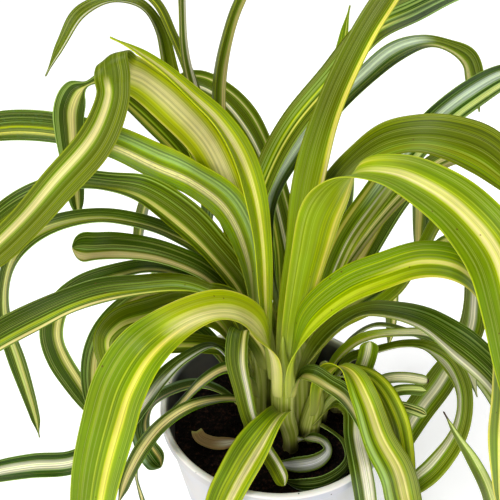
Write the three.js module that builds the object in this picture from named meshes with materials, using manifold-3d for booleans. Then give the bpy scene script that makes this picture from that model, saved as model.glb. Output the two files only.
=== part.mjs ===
import * as THREE from 'three';
import { mergeVertices } from 'three/addons/utils/BufferGeometryUtils.js';
import Module from 'manifold-3d';

// A spider plant in a plain white pot. Millimetres, +Z up. The origin is the centre of the pot's
// flat underside, and the plant's front faces -Y.

// Pot
const POT_HEIGHT = 110;
const RIM_RADIUS = 65;
const BASE_RADIUS = 46;
const WALL = 2.4;
const FLOOR = 3;
const LIP_WIDTH = 3.2;
const LIP_HEIGHT = 7;
const LIP_STEP = 1.2;
const EDGE_ROUND = 0.9;
const POT_SIDES = 44;
const DRAIN_HOLES = 6;
const DRAIN_RADIUS = 3.5;
const DRAIN_RING = 27;
const DRILL_LENGTH = 10;
const DRILL_SIDES = 12;

// Soil
const SOIL_TOP = 92;
const SOIL_SECTORS = 30;
const SOIL_RINGS = 6;
const CRUMB_HEIGHT = 1.8;
const SOIL_SEED = 41;

// Clearance between pieces that touch on the real plant
const GAP = 0.3;

// Corners closer than this are one corner, and a bend under STRAIGHT leaves a frame as it is
const SAME_CORNER = 1e-4;
const STRAIGHT = 1e-12;

// The repeatable random source of the crumbs
const RANDOM_FACTOR = 16807;
const RANDOM_RANGE = 2147483647;

// Stems: the bases of the leaves clasp into necks, and the necks join in one clump under the soil.
// A neck is its rows of [x, y, z, radius] from foot to top.
const NECK_SIDES = 12;
const necks = [
  [[8, -18, 74, 10.5], [8, -19, 84, 6], [8, -19, 94, 3.6], [7, -19, 104, 4], [3, -22, 122, 4.6],
    [2, -25, 141, 5], [2, -27, 155, 5], [1, -27, 167, 2.4]],
  [[-12, -8, 74, 10.5], [-12, -9, 88, 6.6], [-12, -9, 110, 6.6], [-12, -9, 138, 6],
    [-13, -9, 154, 2.4]],
  [[-10, 5, 74, 10.5], [-11, 3, 88, 6.6], [-12, 3, 110, 6.6], [-10, 4, 142, 6],
    [-10, 4, 158, 2.4]],
  [[-6, 18, 74, 10.5], [-6, 18, 88, 7], [-6, 18, 110, 7], [-7, 18, 138, 6], [-8, 19, 156, 2.4]],
  [[-7, 28, 74, 10.5], [-8, 30, 88, 6.4], [-8, 30, 110, 6.4], [-8, 30, 132, 5.6],
    [-9, 31, 146, 2.4]],
  [[4, 25, 74, 10.5], [4, 27, 88, 7], [4, 27, 110, 7], [4, 28, 134, 5.5], [4, 29, 148, 2.4]],
  [[15, 22, 74, 10.5], [15, 24, 88, 6.4], [15, 24, 110, 6.2], [15, 24, 132, 5.4],
    [15, 24, 148, 2.4]],
  [[5, 1, 68, 11.5], [8, 0, 78, 10], [13, -1, 90, 6.4], [13, -1, 110, 6.4], [11, 0, 142, 6],
    [10, 0, 158, 2.4]],
  [[18, -9, 74, 10.5], [19, -10, 88, 6.4], [19, -10, 98, 6], [21, -11, 118, 4.5],
    [22, -12, 128, 2.2]],
  [[24, 3, 74, 10.5], [24, 2, 88, 6.6], [24, 2, 100, 6.4], [26, 3, 122, 5], [27, 3, 134, 2.2]],
  [[36, 9, 74, 10.5], [37, 10, 88, 4.8], [37, 10, 96, 4.6], [37, 10, 108, 2.2]],
];

// Leaves
const BLADE_THICKNESS = 0.7;
const STEP_LENGTH = 16;
const TIP_WIDTH = 1.6;
const ROOT_FOLD = 32;
const BLADE_FOLD = 15;
const DEEP_FOLD = 38;
const FOLD_OPENS = 0.3;

// Each leaf: tone, fold, and its knots from root to tip as [x, y, z, width, twist]. The twist is
// in degrees about the midrib, on top of the frame that is carried along it without turning.
const leaves = {
  front_left: ['lime', 'open', [
    [-1, -29, 142, 8, 0], [-3, -32, 172, 12, -20], [-9, -35, 190, 16, -55],
    [-19, -43, 206, 20, -25], [-32, -58, 218, 22, 5], [-43, -72, 222, 22, 10],
    [-53, -82, 218, 22, 0], [-61, -88, 206, 22, -15], [-67, -92, 188, 21, -30],
    [-74, -95, 163, 19, -40], [-81, -97, 127, 14, -55], [-88, -99, 77, 3, -55],
  ]],
  front_right: ['lime', 'open', [
    [4, -29, 142, 8, 0], [4, -33, 171, 12, 10], [10, -34, 193, 16, 40], [25, -36, 212, 18, 40],
    [39, -40, 223, 18, 35], [53, -45, 232, 18, 30], [65, -51, 234, 18, 20], [77, -51, 224, 19, 20],
    [87, -56, 205, 18, 30], [93, -60, 179, 16, 50], [97, -63, 148, 14, 60], [106, -65, 101, 5, 55],
  ]],
  front_big_right: ['lime', 'open', [
    [3, -21, 148, 8, 0], [6, -22, 178, 13, -30], [12, -24, 223, 18, -45], [16, -26, 246, 20, -45],
    [24, -30, 264, 22, 0], [38, -38, 268, 23, 15], [51, -47, 265, 24, 25], [62, -56, 259, 25, 30],
    [71, -68, 249, 24, 40], [78, -75, 230, 22, 45], [86, -80, 201, 16, 60], [94, -83, 166, 4, 55],
  ]],
  upright_right: ['lime', 'open', [
    [1, -19, 151, 8, 0], [4, -8, 178, 12, 10], [7, -7, 213, 14, 5], [12, 0, 248, 15, 25],
    [19, 3, 278, 13, 15], [31, 11, 304, 12, 15], [41, 17, 319, 12, 15], [52, 24, 333, 9, 25],
    [66, 30, 343, 2, 45],
  ]],
  inner_left: ['lime', 'deep', [
    [-3, -22, 146, 6, 0], [-7, -23, 196, 8, -70], [-9, -26, 229, 9, -75], [-12, -28, 252, 11, -70],
    [-17, -30, 270, 11, -60], [-25, -33, 285, 9, -50], [-34, -35, 295, 7, -45],
    [-44, -37, 305, 5, -40], [-53, -40, 312, 3, -40], [-60, -42, 316, 1, -30],
  ]],
  front_short: ['lime', 'open', [
    [3, -24, 128, 9, 0], [-5, -44, 141, 14, 20], [-14, -55, 134, 17, -5], [-21, -62, 124, 17, -20],
    [-28, -66, 108, 16, -25], [-36, -75, 88, 8, -5],
  ]],
  arch_top_left: ['mid', 'open', [
    [-13, 18, 131, 8, 0], [-21, 25, 196, 11, -50], [-37, 27, 238, 12, -40], [-45, 31, 262, 12, -40],
    [-50, 29, 285, 11, -40], [-54, 35, 302, 9, -35], [-61, 30, 314, 9, -10], [-73, 24, 317, 9, 5],
    [-84, 15, 313, 8, 0], [-91, 8, 303, 6, 5], [-99, 4, 290, 1, -10],
  ]],
  upright_left_narrow: ['mid', 'open', [
    [-8, 19, 138, 7, 0], [-20, 24, 205, 9, -15], [-33, 25, 249, 10, -10], [-40, 23, 277, 10, -10],
    [-43, 24, 295, 9, -5], [-43, 25, 316, 7, -5], [-43, 27, 333, 2, -30],
  ]],
  upright_left_back: ['dark', 'open', [
    [-7, 28, 130, 7, 0], [-17, 41, 189, 10, -35], [-33, 47, 240, 12, -25], [-41, 36, 277, 11, -15],
    [-49, 36, 300, 10, -10], [-56, 40, 313, 10, -15], [-68, 36, 322, 7, -10], [-80, 32, 323, 2, -5],
  ]],
  upright_centre_narrow: ['dark', 'deep', [
    [4, 24, 126, 7, 0], [-13, 32, 182, 9, 40], [-24, 36, 222, 10, 45], [-28, 34, 256, 11, 45],
    [-28, 37, 278, 11, 45], [-24, 50, 296, 10, 50], [-18, 57, 311, 9, 50], [-9, 62, 327, 2, 20],
  ]],
  left_fold: ['pale', 'open', [
    [-8, 9, 142, 8, 78], [-14, 10, 195, 13, 76], [-24, 10, 233, 16, 81], [-34, 12, 257, 17, 88],
    [-47, 0, 279, 17, 93], [-57, -9, 292, 15, 101], [-62, -16, 298, 15, 81],
    [-64, -23, 304, 13, 61], [-64, -28, 299, 13, 26], [-64, -30, 293, 12, 21],
    [-68, -31, 283, 13, 27], [-74, -33, 274, 14, 35], [-88, -36, 260, 14, 37],
    [-101, -41, 247, 13, 38], [-115, -46, 235, 12, 37], [-131, -50, 223, 3, 37],
  ]],
  left_back_dark: ['dark', 'open', [
    [-9, 25, 129, 7, 0], [-28, 45, 203, 10, -45], [-48, 42, 239, 11, -40], [-63, 37, 260, 12, -40],
    [-74, 28, 276, 11, -25], [-80, 25, 283, 9, -10], [-87, 22, 282, 9, 20], [-92, 20, 279, 13, -25],
    [-96, 19, 271, 14, -55], [-98, 19, 259, 14, -45], [-99, 19, 244, 11, -50],
    [-100, 20, 226, 8, -75], [-101, 21, 210, 2, -85],
  ]],
  arch_back_centre: ['dark', 'open', [
    [12, 24, 129, 7, 0], [11, 38, 171, 11, -70], [4, 46, 205, 13, -45], [-6, 48, 237, 13, -40],
    [-16, 47, 257, 14, -40], [-28, 50, 269, 13, -35], [-41, 51, 275, 13, -25],
    [-53, 44, 272, 9, -15], [-60, 42, 265, 2, -25],
  ]],
  left_upper: ['mid', 'open', [
    [-9, 1, 142, 8, 0], [-13, -1, 203, 14, -60], [-24, 0, 232, 17, -70], [-41, 4, 244, 18, -90],
    [-60, 18, 247, 17, -70], [-80, 28, 252, 16, -70], [-102, 33, 256, 15, -70],
    [-121, 34, 258, 15, -75], [-138, 34, 257, 14, -80], [-158, 32, 251, 9, -85],
    [-178, 30, 239, 2, -65],
  ]],
  left_mid: ['dark', 'open', [
    [-11, 1, 138, 8, 0], [-13, 1, 177, 14, -55], [-31, -4, 213, 17, -35], [-46, -2, 229, 17, -45],
    [-63, 0, 241, 16, -30], [-79, 3, 243, 15, -15], [-93, 1, 245, 15, -15], [-107, 0, 241, 15, -25],
    [-120, -2, 235, 13, -40], [-135, -4, 224, 10, -50], [-154, -6, 206, 2, -55],
  ]],
  right_up_broad: ['mid', 'open', [
    [-4, 17, 140, 8, 0], [-11, 19, 181, 10, 30], [-13, 21, 216, 13, 30], [-6, 26, 239, 14, 35],
    [5, 25, 262, 15, 30], [22, 28, 283, 16, 25], [39, 32, 303, 17, 25], [57, 36, 311, 17, 25],
    [73, 40, 317, 14, 25], [96, 44, 321, 3, 40],
  ]],
  right_arch_back: ['mid', 'open', [
    [8, 28, 125, 8, 0], [-4, 31, 179, 9, 20], [-4, 33, 218, 11, 15], [10, 39, 244, 12, 15],
    [25, 44, 262, 12, 25], [40, 49, 276, 12, 25], [56, 54, 288, 12, 30], [71, 58, 292, 10, 20],
    [84, 61, 289, 9, 35], [96, 63, 282, 12, 60], [102, 65, 270, 10, 90], [108, 67, 253, 3, 115],
  ]],
  right_far_up: ['mid', 'open', [
    [12, 3, 142, 8, 0], [23, 8, 179, 12, 45], [32, 10, 208, 14, 40], [44, 12, 230, 15, 35],
    [57, 13, 251, 15, 40], [70, 13, 269, 15, 35], [83, 13, 281, 15, 30], [94, 13, 288, 12, 30],
    [110, 13, 292, 3, 35],
  ]],
  right_arch_broad: ['mid', 'open', [
    [10, -2, 147, 8, 0], [11, 1, 187, 13, 60], [18, 6, 224, 17, 50], [26, -6, 254, 20, 20],
    [38, -15, 269, 20, 25], [50, -21, 275, 20, 20], [62, -25, 275, 20, 30], [75, -29, 271, 20, 40],
    [87, -33, 262, 15, 45], [102, -37, 247, 3, 60],
  ]],
  right_low_dark: ['dark', 'open', [
    [7, -18, 135, 8, 0], [15, -18, 160, 11, 25], [26, -19, 178, 14, 10], [39, -22, 190, 15, -5],
    [53, -26, 192, 15, 0], [65, -30, 190, 15, 15], [76, -34, 184, 16, 35], [86, -38, 177, 16, 65],
    [99, -42, 165, 15, 70], [109, -46, 149, 11, 80], [120, -50, 126, 3, 80],
  ]],
  right_back_dark: ['dark', 'open', [
    [17, 21, 132, 7, 0], [25, 18, 165, 10, 20], [38, 22, 191, 12, 10], [51, 26, 211, 13, 10],
    [64, 29, 227, 13, 15], [80, 32, 241, 13, 20], [99, 34, 245, 12, 35], [121, 35, 237, 9, 50],
    [142, 36, 219, 2, 75],
  ]],
  right_back_hang: ['dark', 'open', [
    [15, 2, 134, 7, 0], [34, 14, 151, 9, 15], [53, 20, 159, 11, 5], [67, 25, 169, 12, 0],
    [77, 30, 188, 12, 0], [85, 34, 207, 13, 0], [93, 36, 214, 14, 10], [103, 35, 204, 14, 55],
    [109, 33, 182, 14, 75], [113, 30, 156, 15, 75], [113, 26, 137, 16, 90], [106, 21, 121, 16, 85],
    [97, 16, 104, 17, 115], [87, 12, 86, 17, 115], [74, 4, 60, 15, 115],
  ]],
  right_back_low: ['dark', 'open', [
    [19, 24, 118, 7, 0], [38, 34, 141, 10, 10], [64, 42, 157, 11, 10], [87, 48, 172, 11, 10],
    [101, 53, 181, 11, 15], [113, 57, 177, 10, 50], [125, 60, 162, 8, 80], [135, 61, 134, 2, 120],
  ]],
  tip_behind_right: ['mid', 'deep', [
    [8, 28, 126, 6, 0], [10, 50, 171, 8, -20], [16, 58, 224, 9, -30], [25, 62, 264, 8, -25],
    [31, 66, 288, 6, -25], [35, 72, 306, 1, 25],
  ]],
  left_arch_low: ['dark', 'open', [
    [-14, 4, 138, 8, 0], [-21, 12, 177, 12, -40], [-37, 4, 206, 13, -20], [-52, 0, 219, 13, -10],
    [-65, -8, 229, 12, -5], [-81, -9, 232, 12, -5], [-99, -11, 230, 12, -15],
    [-113, -13, 224, 12, -30], [-123, -15, 213, 11, -30], [-130, -16, 196, 10, -40],
    [-133, -17, 176, 10, -60], [-131, -19, 155, 10, -75], [-129, -21, 135, 8, -80],
    [-128, -22, 116, 5, -85], [-128, -23, 103, 1, -110],
  ]],
  left_cut_end: ['dark', 'open', [
    [-13, -5, 142, 8, 0], [-20, 0, 175, 12, -40], [-34, -11, 203, 13, -20],
    [-46, -16, 214, 13, -15], [-59, -18, 220, 14, -15], [-74, -20, 223, 15, -20],
    [-84, -21, 223, 15, -25], [-92, -22, 223, 14, -60],
  ]],
  left_low_broad: ['dark', 'open', [
    [-12, -11, 142, 8, 0], [-19, -15, 181, 12, -55], [-30, -31, 206, 14, 10],
    [-45, -28, 209, 15, 0], [-62, -34, 212, 15, 0], [-78, -38, 212, 15, -10],
    [-90, -42, 210, 15, -10], [-104, -45, 204, 15, -20], [-120, -48, 196, 15, -25],
    [-136, -51, 186, 12, -35], [-155, -54, 167, 2, -65],
  ]],
  left_low_curl: ['dark', 'open', [
    [-14, 4, 126, 7, 0], [-27, 2, 177, 10, -35], [-46, -4, 198, 11, -15], [-62, -7, 204, 11, -10],
    [-79, -10, 202, 12, -15], [-96, -13, 196, 13, -25], [-106, -16, 186, 13, -50],
    [-111, -18, 172, 13, -70], [-111, -16, 153, 13, -90], [-105, -19, 140, 12, -95],
    [-98, -22, 127, 9, -100], [-91, -24, 114, 3, -105],
  ]],
  left_low_inner: ['dark', 'open', [
    [-13, -6, 125, 7, 0], [-26, -10, 171, 9, -45], [-41, -11, 191, 10, -15],
    [-61, -15, 195, 10, -10], [-73, -18, 191, 11, -15], [-84, -21, 179, 11, -35],
    [-91, -23, 164, 11, -55], [-94, -25, 146, 10, -80], [-93, -29, 131, 7, -90],
    [-89, -31, 115, 2, -100],
  ]],
  left_white_low: ['pale', 'open', [
    [-15, -9, 124, 7, 0], [-23, -12, 148, 8, -10], [-33, -14, 161, 8, 20], [-46, -24, 162, 8, 15],
    [-58, -28, 152, 10, 5], [-67, -32, 140, 10, 0], [-84, -37, 119, 11, -10],
    [-105, -42, 107, 12, -25], [-125, -45, 108, 12, -20], [-145, -48, 106, 10, -25],
    [-167, -50, 96, 2, -30],
  ]],
  left_flat_inner: ['mid', 'open', [
    [-14, -4, 112, 7, -34], [-22, 1, 141, 9, -41], [-38, -10, 158, 10, -45],
    [-56, -18, 165, 10, -44], [-66, -33, 175, 8, -45], [-73, -37, 180, 3, -46],
  ]],
  left_under_dark: ['dark', 'open', [
    [-13, -8, 138, 7, -42], [-30, -24, 187, 13, -55], [-45, -33, 200, 16, -47],
    [-59, -30, 194, 16, -42], [-72, -36, 193, 15, -37], [-78, -42, 188, 13, -32],
    [-76, -46, 175, 11, -43], [-71, -48, 163, 4, -50],
  ]],
  left_under_back: ['dark', 'open', [
    [-14, 1, 104, 7, -38], [-34, 6, 144, 12, -40], [-47, -2, 161, 15, -40],
    [-61, -10, 164, 15, -29], [-70, -26, 168, 12, -25], [-77, -32, 160, 4, -26],
  ]],
  left_cream_a: ['pale', 'open', [
    [-11, -13, 126, 7, 0], [-16, -25, 156, 11, -15], [-27, -25, 156, 12, 0],
    [-39, -28, 149, 11, -5], [-51, -30, 134, 8, -10], [-60, -38, 129, 8, 0], [-68, -44, 118, 8, 0],
    [-73, -44, 101, 6, -20], [-72, -44, 83, 5, -45], [-69, -46, 63, 1, -85],
  ]],
  left_cream_b: ['pale', 'open', [
    [-11, -15, 116, 7, 0], [-19, -23, 132, 8, 5], [-29, -27, 137, 8, 10], [-44, -40, 145, 8, 5],
    [-58, -42, 134, 9, -5], [-66, -49, 127, 9, -15], [-74, -53, 112, 8, -20],
    [-81, -56, 92, 2, -60],
  ]],
  left_folded_blunt: ['dark', 'open', [
    [-16, -9, 110, 7, 0], [-28, -15, 130, 9, -10], [-42, -18, 139, 10, -5],
    [-59, -21, 135, 11, -10], [-67, -23, 128, 12, -20], [-71, -29, 120, 14, -45],
    [-68, -34, 108, 14, -65], [-60, -42, 103, 13, -80],
  ]],
  front_dark_over_rim: ['dark', 'open', [
    [-6, -13, 145, 7, 0], [-12, -18, 166, 9, -20], [-19, -23, 179, 11, -38],
    [-21, -32, 169, 12, -40], [-18, -35, 150, 11, -40], [-14, -37, 131, 10, -45],
    [-8, -44, 121, 10, -45], [-2, -53, 117, 10, -45], [2, -61, 114, 10, -45],
  ]],
  right_arch_front: ['dark', 'open', [
    [6, -29, 141, 7, 0], [10, -26, 153, 8, 15], [16, -30, 157, 9, 25], [24, -33, 153, 9, 20],
    [32, -33, 146, 10, 25], [41, -31, 129, 9, 35], [46, -40, 122, 7, 40], [50, -45, 109, 2, 35],
  ]],
  front_right_hang: ['mid', 'open', [
    [20, -13, 112, 8, 0], [22, -16, 139, 11, -30], [28, -21, 155, 13, -35], [35, -26, 155, 14, -10],
    [41, -38, 147, 14, 25], [48, -47, 129, 16, 35], [57, -52, 113, 18, 35], [65, -49, 86, 19, 45],
    [71, -52, 60, 16, 65], [76, -56, 34, 3, 65],
  ]],
  right_second_hang: ['mid', 'open', [
    [23, -7, 108, 8, 0], [30, -7, 131, 10, -35], [37, -12, 141, 12, 5], [47, -17, 142, 12, 10],
    [54, -22, 136, 13, 30], [60, -31, 126, 13, 45], [64, -36, 110, 12, 65], [68, -40, 90, 9, 70],
    [71, -42, 68, 2, 70],
  ]],
  front_right_white: ['pale', 'open', [
    [20, -13, 104, 8, 37], [29, -15, 123, 9, 57], [33, -20, 129, 10, 59], [39, -23, 124, 11, 58],
    [39, -34, 118, 12, 41], [39, -54, 118, 12, 46], [43, -57, 98, 12, 49], [46, -62, 76, 10, 49],
    [50, -64, 52, 2, 50],
  ]],
  right_loop: ['mid', 'deep', [
    [27, 2, 108, 8, 0], [38, 4, 135, 8, 35], [55, 3, 144, 7, 30], [66, -3, 153, 7, 25],
    [75, -12, 159, 8, 25], [85, -18, 154, 10, 55], [94, -21, 140, 10, 55], [97, -24, 125, 10, 65],
    [95, -27, 107, 11, 85], [85, -31, 88, 12, 105], [76, -34, 79, 11, 105], [66, -37, 69, 3, 125],
  ]],
  right_upper_loop: ['pale', 'open', [
    [24, 6, 114, 7, 0], [35, 5, 139, 8, 15], [47, 3, 152, 9, 0], [64, 4, 154, 9, 0],
    [79, -1, 157, 9, 5], [89, -6, 153, 9, 30], [100, -9, 141, 8, 50], [108, -12, 122, 2, 45],
  ]],
  right_cut_stub: ['dark', 'open', [
    [36, 8, 98, 8, 148], [44, -1, 121, 9, 143], [46, -5, 135, 10, 143], [47, -7, 147, 10, 143],
    [47, -8, 158, 10, 143],
  ]],
  right_small_curl: ['pale', 'open', [
    [38, 9, 97, 6, 57], [54, 2, 114, 6, 53], [60, -2, 126, 6, 56], [70, -6, 131, 6, 60],
    [81, -10, 132, 6, 60],
  ]],
  right_small_pale: ['pale', 'open', [
    [42, 8, 95, 6, 60], [59, -2, 110, 6, 58], [66, -6, 121, 6, 58], [72, -9, 125, 6, 62],
    [80, -11, 126, 6, 62],
  ]],
  right_small_striped: ['mid', 'open', [
    [38, 4, 96, 6, 62], [58, -15, 114, 6, 61], [68, -10, 113, 6, 63], [74, -13, 114, 6, 63],
    [81, -16, 113, 6, 61],
  ]],
  soil_curl_white: ['pale', 'open', [
    [10, -18, 97, 6, 0], [17, -22, 103, 8, 95], [25, -25, 103, 8, 95], [27, -30, 101, 7, 90],
    [21, -35, 99, 9, 90], [8, -36, 97, 9, 90], [-3, -33, 96, 4, 90],
  ]],
  soil_curl_dark: ['dark', 'open', [
    [24, -10, 98, 7, 0], [31, -14, 97, 8, 0], [37, -25, 100, 8, -5], [36, -37, 99, 10, -30],
    [24, -46, 97, 10, -30], [10, -47, 96, 9, -30], [2, -42, 94, 3, -15],
  ]],
  soil_scrap: ['cream', 'open', [
    [-45, -9, 94, 6, 0], [-42, -15, 94, 8, 0], [-33, -19, 94, 8, 10], [-24, -18, 94, 8, 15],
    [-18, -17, 94, 5, 20],
  ]],
  right_tip_low: ['mid', 'open', [
    [28, 8, 108, 7, 0], [37, 20, 126, 9, 55], [54, 15, 151, 10, 30], [76, 10, 148, 11, 40],
    [102, 4, 133, 11, 60], [127, -4, 104, 11, 85], [136, -28, 83, 10, 120], [146, -36, 41, 9, 125],
    [133, -52, 35, 8, 95], [115, -56, 71, 8, 40], [101, -58, 107, 7, 40], [89, -59, 130, 6, 30],
    [78, -60, 148, 3, 25], [69, -61, 164, 1, 20],
  ]],
  back_left_high: ['dark', 'open', [
    [-10, 32, 130, 8, 0], [-22, 56, 172, 12, 0], [-36, 82, 208, 16, 0], [-62, 99, 206, 17, 0],
    [-82, 112, 182, 16, 0], [-93, 121, 146, 12, 0], [-97, 126, 110, 3, 0],
  ]],
  back_centre_left: ['mid', 'open', [
    [4, 33, 132, 8, 0], [0, 62, 182, 12, 0], [-14, 88, 218, 16, 0], [-28, 117, 218, 18, 0],
    [-40, 142, 190, 16, 0], [-46, 156, 150, 12, 0], [-48, 161, 112, 3, 0],
  ]],
  back_centre_right: ['dark', 'open', [
    [15, 27, 122, 8, 0], [25, 52, 170, 12, 0], [34, 78, 202, 16, 0], [43, 106, 200, 17, 0],
    [50, 130, 172, 15, 0], [53, 142, 134, 11, 0], [55, 147, 100, 3, 0],
  ]],
  back_right_high: ['dark', 'open', [
    [19, 24, 128, 8, 0], [44, 36, 170, 12, 0], [66, 56, 204, 16, 0], [84, 82, 208, 17, 0],
    [98, 106, 184, 16, 0], [106, 120, 146, 12, 0], [111, 126, 108, 3, 0],
  ]],
  back_low_left: ['dark', 'open', [
    [-12, 20, 112, 8, 0], [-28, 38, 146, 12, 0], [-50, 64, 158, 15, 0], [-70, 90, 142, 15, 0],
    [-84, 108, 108, 13, 0], [-91, 118, 68, 9, 0], [-94, 122, 36, 2, 0],
  ]],
  back_low_right: ['mid', 'open', [
    [18, 25, 106, 8, 0], [36, 43, 140, 12, 0], [60, 72, 154, 15, 0], [78, 98, 136, 15, 0],
    [90, 116, 100, 12, 0], [96, 125, 62, 9, 0], [98, 128, 34, 2, 0],
  ]],
};

const tones = {
  lime: 0x9fb52a,
  mid: 0x6f8f2c,
  dark: 0x4a6a1c,
  pale: 0xc9cf8a,
  cream: 0xd8d2a0,
};

const wasm = await Module();
wasm.setup();

const finish = (color, roughness) => new THREE.MeshStandardMaterial({ color, roughness, metalness: 0 });
const leafFinish = (tone) => finish(tones[tone], 0.42);
const stemFinish = finish(0xb9bd5e, 0.5);
const soilFinish = finish(0x2a1d16, 0.95);
const potFinish = finish(0xeceef2, 0.35);

// A small repeatable random source
function seeded(seed) {
  let state = seed;
  return () => {
    state = (state * RANDOM_FACTOR) % RANDOM_RANGE;
    return state / RANDOM_RANGE;
  };
}

// Turns a closed geometry into a solid, with its shared corners merged
function toSolid(geometry) {
  const bare = geometry.clone();
  bare.deleteAttribute('normal');
  bare.deleteAttribute('uv');
  const merged = mergeVertices(bare, SAME_CORNER);
  const corners = merged.index.array;
  const kept = [];
  for (let i = 0; i < corners.length; i += 3) {
    const [a, b, c] = corners.slice(i, i + 3);
    if (a !== b && b !== c && c !== a) kept.push(a, b, c);
  }
  const points = merged.attributes.position.array;
  const volume = kept.reduce((sum, _, i) => {
    if (i % 3) return sum;
    const [p, q, r] = [0, 1, 2].map((k) => new THREE.Vector3().fromArray(points, kept[i + k] * 3));
    return sum + p.dot(q.cross(r));
  }, 0);
  if (volume < 0) kept.reverse();
  return new wasm.Manifold(new wasm.Mesh({
    numProp: 3,
    vertProperties: points,
    triVerts: Uint32Array.from(kept),
  }));
}

// The body of the clump is cut out of soil and blades, which can leave slivers: the main body stays
function mainBody(solid) {
  return solid.decompose().sort((a, b) => b.volume() - a.volume())[0];
}

function toGeometry(solid) {
  const mesh = solid.getMesh();
  const geometry = new THREE.BufferGeometry();
  geometry.setAttribute('position', new THREE.BufferAttribute(mesh.vertProperties, 3));
  geometry.setIndex(new THREE.BufferAttribute(mesh.triVerts, 1));
  geometry.computeVertexNormals();
  return geometry;
}

// Skins a row of rings that have the same number of points. The sides named in leaning are split
// along their other diagonal, and caps lists the triangles that close the two ends.
function loft(rings, caps, leaning = []) {
  const size = rings[0].length;
  const last = (rings.length - 1) * size;
  const index = [];
  for (let start = 0; start < last; start += size) {
    for (let side = 0; side < size; side += 1) {
      const a = start + side;
      const b = start + ((side + 1) % size);
      const c = b + size;
      const d = a + size;
      if (leaning.includes(side)) index.push(a, b, d, b, c, d);
      else index.push(a, b, c, a, c, d);
    }
  }
  for (const [a, b, c] of caps) index.push(a, c, b, last + a, last + b, last + c);
  const geometry = new THREE.BufferGeometry().setFromPoints(rings.flat());
  geometry.setIndex(index);
  return geometry;
}

// A profile of [radius, height] turned about the pot's axis
function turned(profile, sides) {
  const outline = profile.map(([radius, height]) => new THREE.Vector2(radius, height));
  return new THREE.LatheGeometry(outline, sides).rotateX(Math.PI / 2);
}

const wallRadius = (height) => BASE_RADIUS
  + ((RIM_RADIUS - LIP_STEP - BASE_RADIUS) * height) / POT_HEIGHT;

function makePot() {
  const lipFoot = POT_HEIGHT - LIP_HEIGHT;
  const inside = RIM_RADIUS - LIP_WIDTH;
  const profile = [
    [0, 0],
    [BASE_RADIUS - EDGE_ROUND, 0],
    [wallRadius(EDGE_ROUND), EDGE_ROUND],
    [wallRadius(lipFoot), lipFoot],
    [RIM_RADIUS, lipFoot + LIP_STEP],
    [RIM_RADIUS, POT_HEIGHT - EDGE_ROUND],
    [RIM_RADIUS - EDGE_ROUND, POT_HEIGHT],
    [inside + EDGE_ROUND, POT_HEIGHT],
    [inside, POT_HEIGHT - EDGE_ROUND],
    [wallRadius(lipFoot) - WALL, lipFoot],
    [wallRadius(FLOOR) - WALL, FLOOR],
    [0, FLOOR],
  ];
  let pot = toSolid(turned(profile, POT_SIDES));
  for (let hole = 0; hole < DRAIN_HOLES; hole += 1) {
    const angle = (2 * Math.PI * hole) / DRAIN_HOLES;
    const drill = new THREE.CylinderGeometry(DRAIN_RADIUS, DRAIN_RADIUS, DRILL_LENGTH, DRILL_SIDES);
    drill.rotateX(Math.PI / 2);
    drill.translate(DRAIN_RING * Math.cos(angle), DRAIN_RING * Math.sin(angle), FLOOR / 2);
    pot = pot.subtract(toSolid(drill));
  }
  return toGeometry(pot);
}

// A neck grown outwards by extra all round
function neckSolid(rows, extra) {
  const rings = rows.map(([x, y, z, radius], row) => {
    const lift = (row === 0 ? -extra : 0) + (row === rows.length - 1 ? extra : 0);
    return Array.from({ length: NECK_SIDES }, (_, side) => {
      const angle = (2 * Math.PI * side) / NECK_SIDES;
      const reach = radius + extra;
      return new THREE.Vector3(x + reach * Math.cos(angle), y + reach * Math.sin(angle), z + lift);
    });
  });
  const caps = Array.from({ length: NECK_SIDES - 2 }, (_, side) => [0, side + 1, side + 2]);
  return toSolid(loft(rings, caps));
}

function clumpSolid(extra = 0) {
  const solids = necks.map((rows) => neckSolid(rows, extra));
  return solids.reduce((joined, solid) => joined.add(solid));
}

const spaceRoundClump = clumpSolid(GAP);

function makeSoil() {
  const random = seeded(SOIL_SEED);
  const bottom = FLOOR + GAP;
  const edge = (height) => wallRadius(height) - WALL - GAP;
  const ringAt = (reach, level) => Array.from({ length: SOIL_SECTORS }, (_, sector) => {
    const angle = (2 * Math.PI * sector) / SOIL_SECTORS;
    const radius = reach / Math.cos(Math.PI / POT_SIDES);
    return new THREE.Vector3(radius * Math.cos(angle), radius * Math.sin(angle), level());
  });
  const lowest = SOIL_TOP - CRUMB_HEIGHT;
  const crumbs = () => SOIL_TOP - CRUMB_HEIGHT * random();
  const inset = Math.cos(Math.PI / POT_SIDES) ** 2;
  const rings = [ringAt(edge(bottom) * inset, () => bottom), ringAt(edge(lowest) * inset, () => lowest)];
  for (let ring = SOIL_RINGS - 1; ring > 0; ring -= 1) {
    rings.push(ringAt((edge(lowest) * inset * ring) / SOIL_RINGS, crumbs));
  }
  const caps = Array.from({ length: SOIL_SECTORS - 2 }, (_, side) => [0, side + 1, side + 2]);
  return toGeometry(mainBody(toSolid(loft(rings, caps)).subtract(spaceRoundClump)));
}

// A curve value at share t of a row of numbers, through every one of them
function smooth(values, t) {
  const place = t * (values.length - 1);
  const knot = Math.min(Math.floor(place), values.length - 2);
  const before = knot > 0 ? values[knot - 1] : 2 * values[0] - values[1];
  const after = knot < values.length - 2 ? values[knot + 2] : 2 * values[knot + 1] - values[knot];
  const w = place - knot;
  const [p, q] = [values[knot], values[knot + 1]];
  const [leave, arrive] = [(q - before) / 2, (after - p) / 2];
  return p + leave * w + (3 * (q - p) - 2 * leave - arrive) * w ** 2
    + (2 * (p - q) + leave + arrive) * w ** 3;
}

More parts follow.
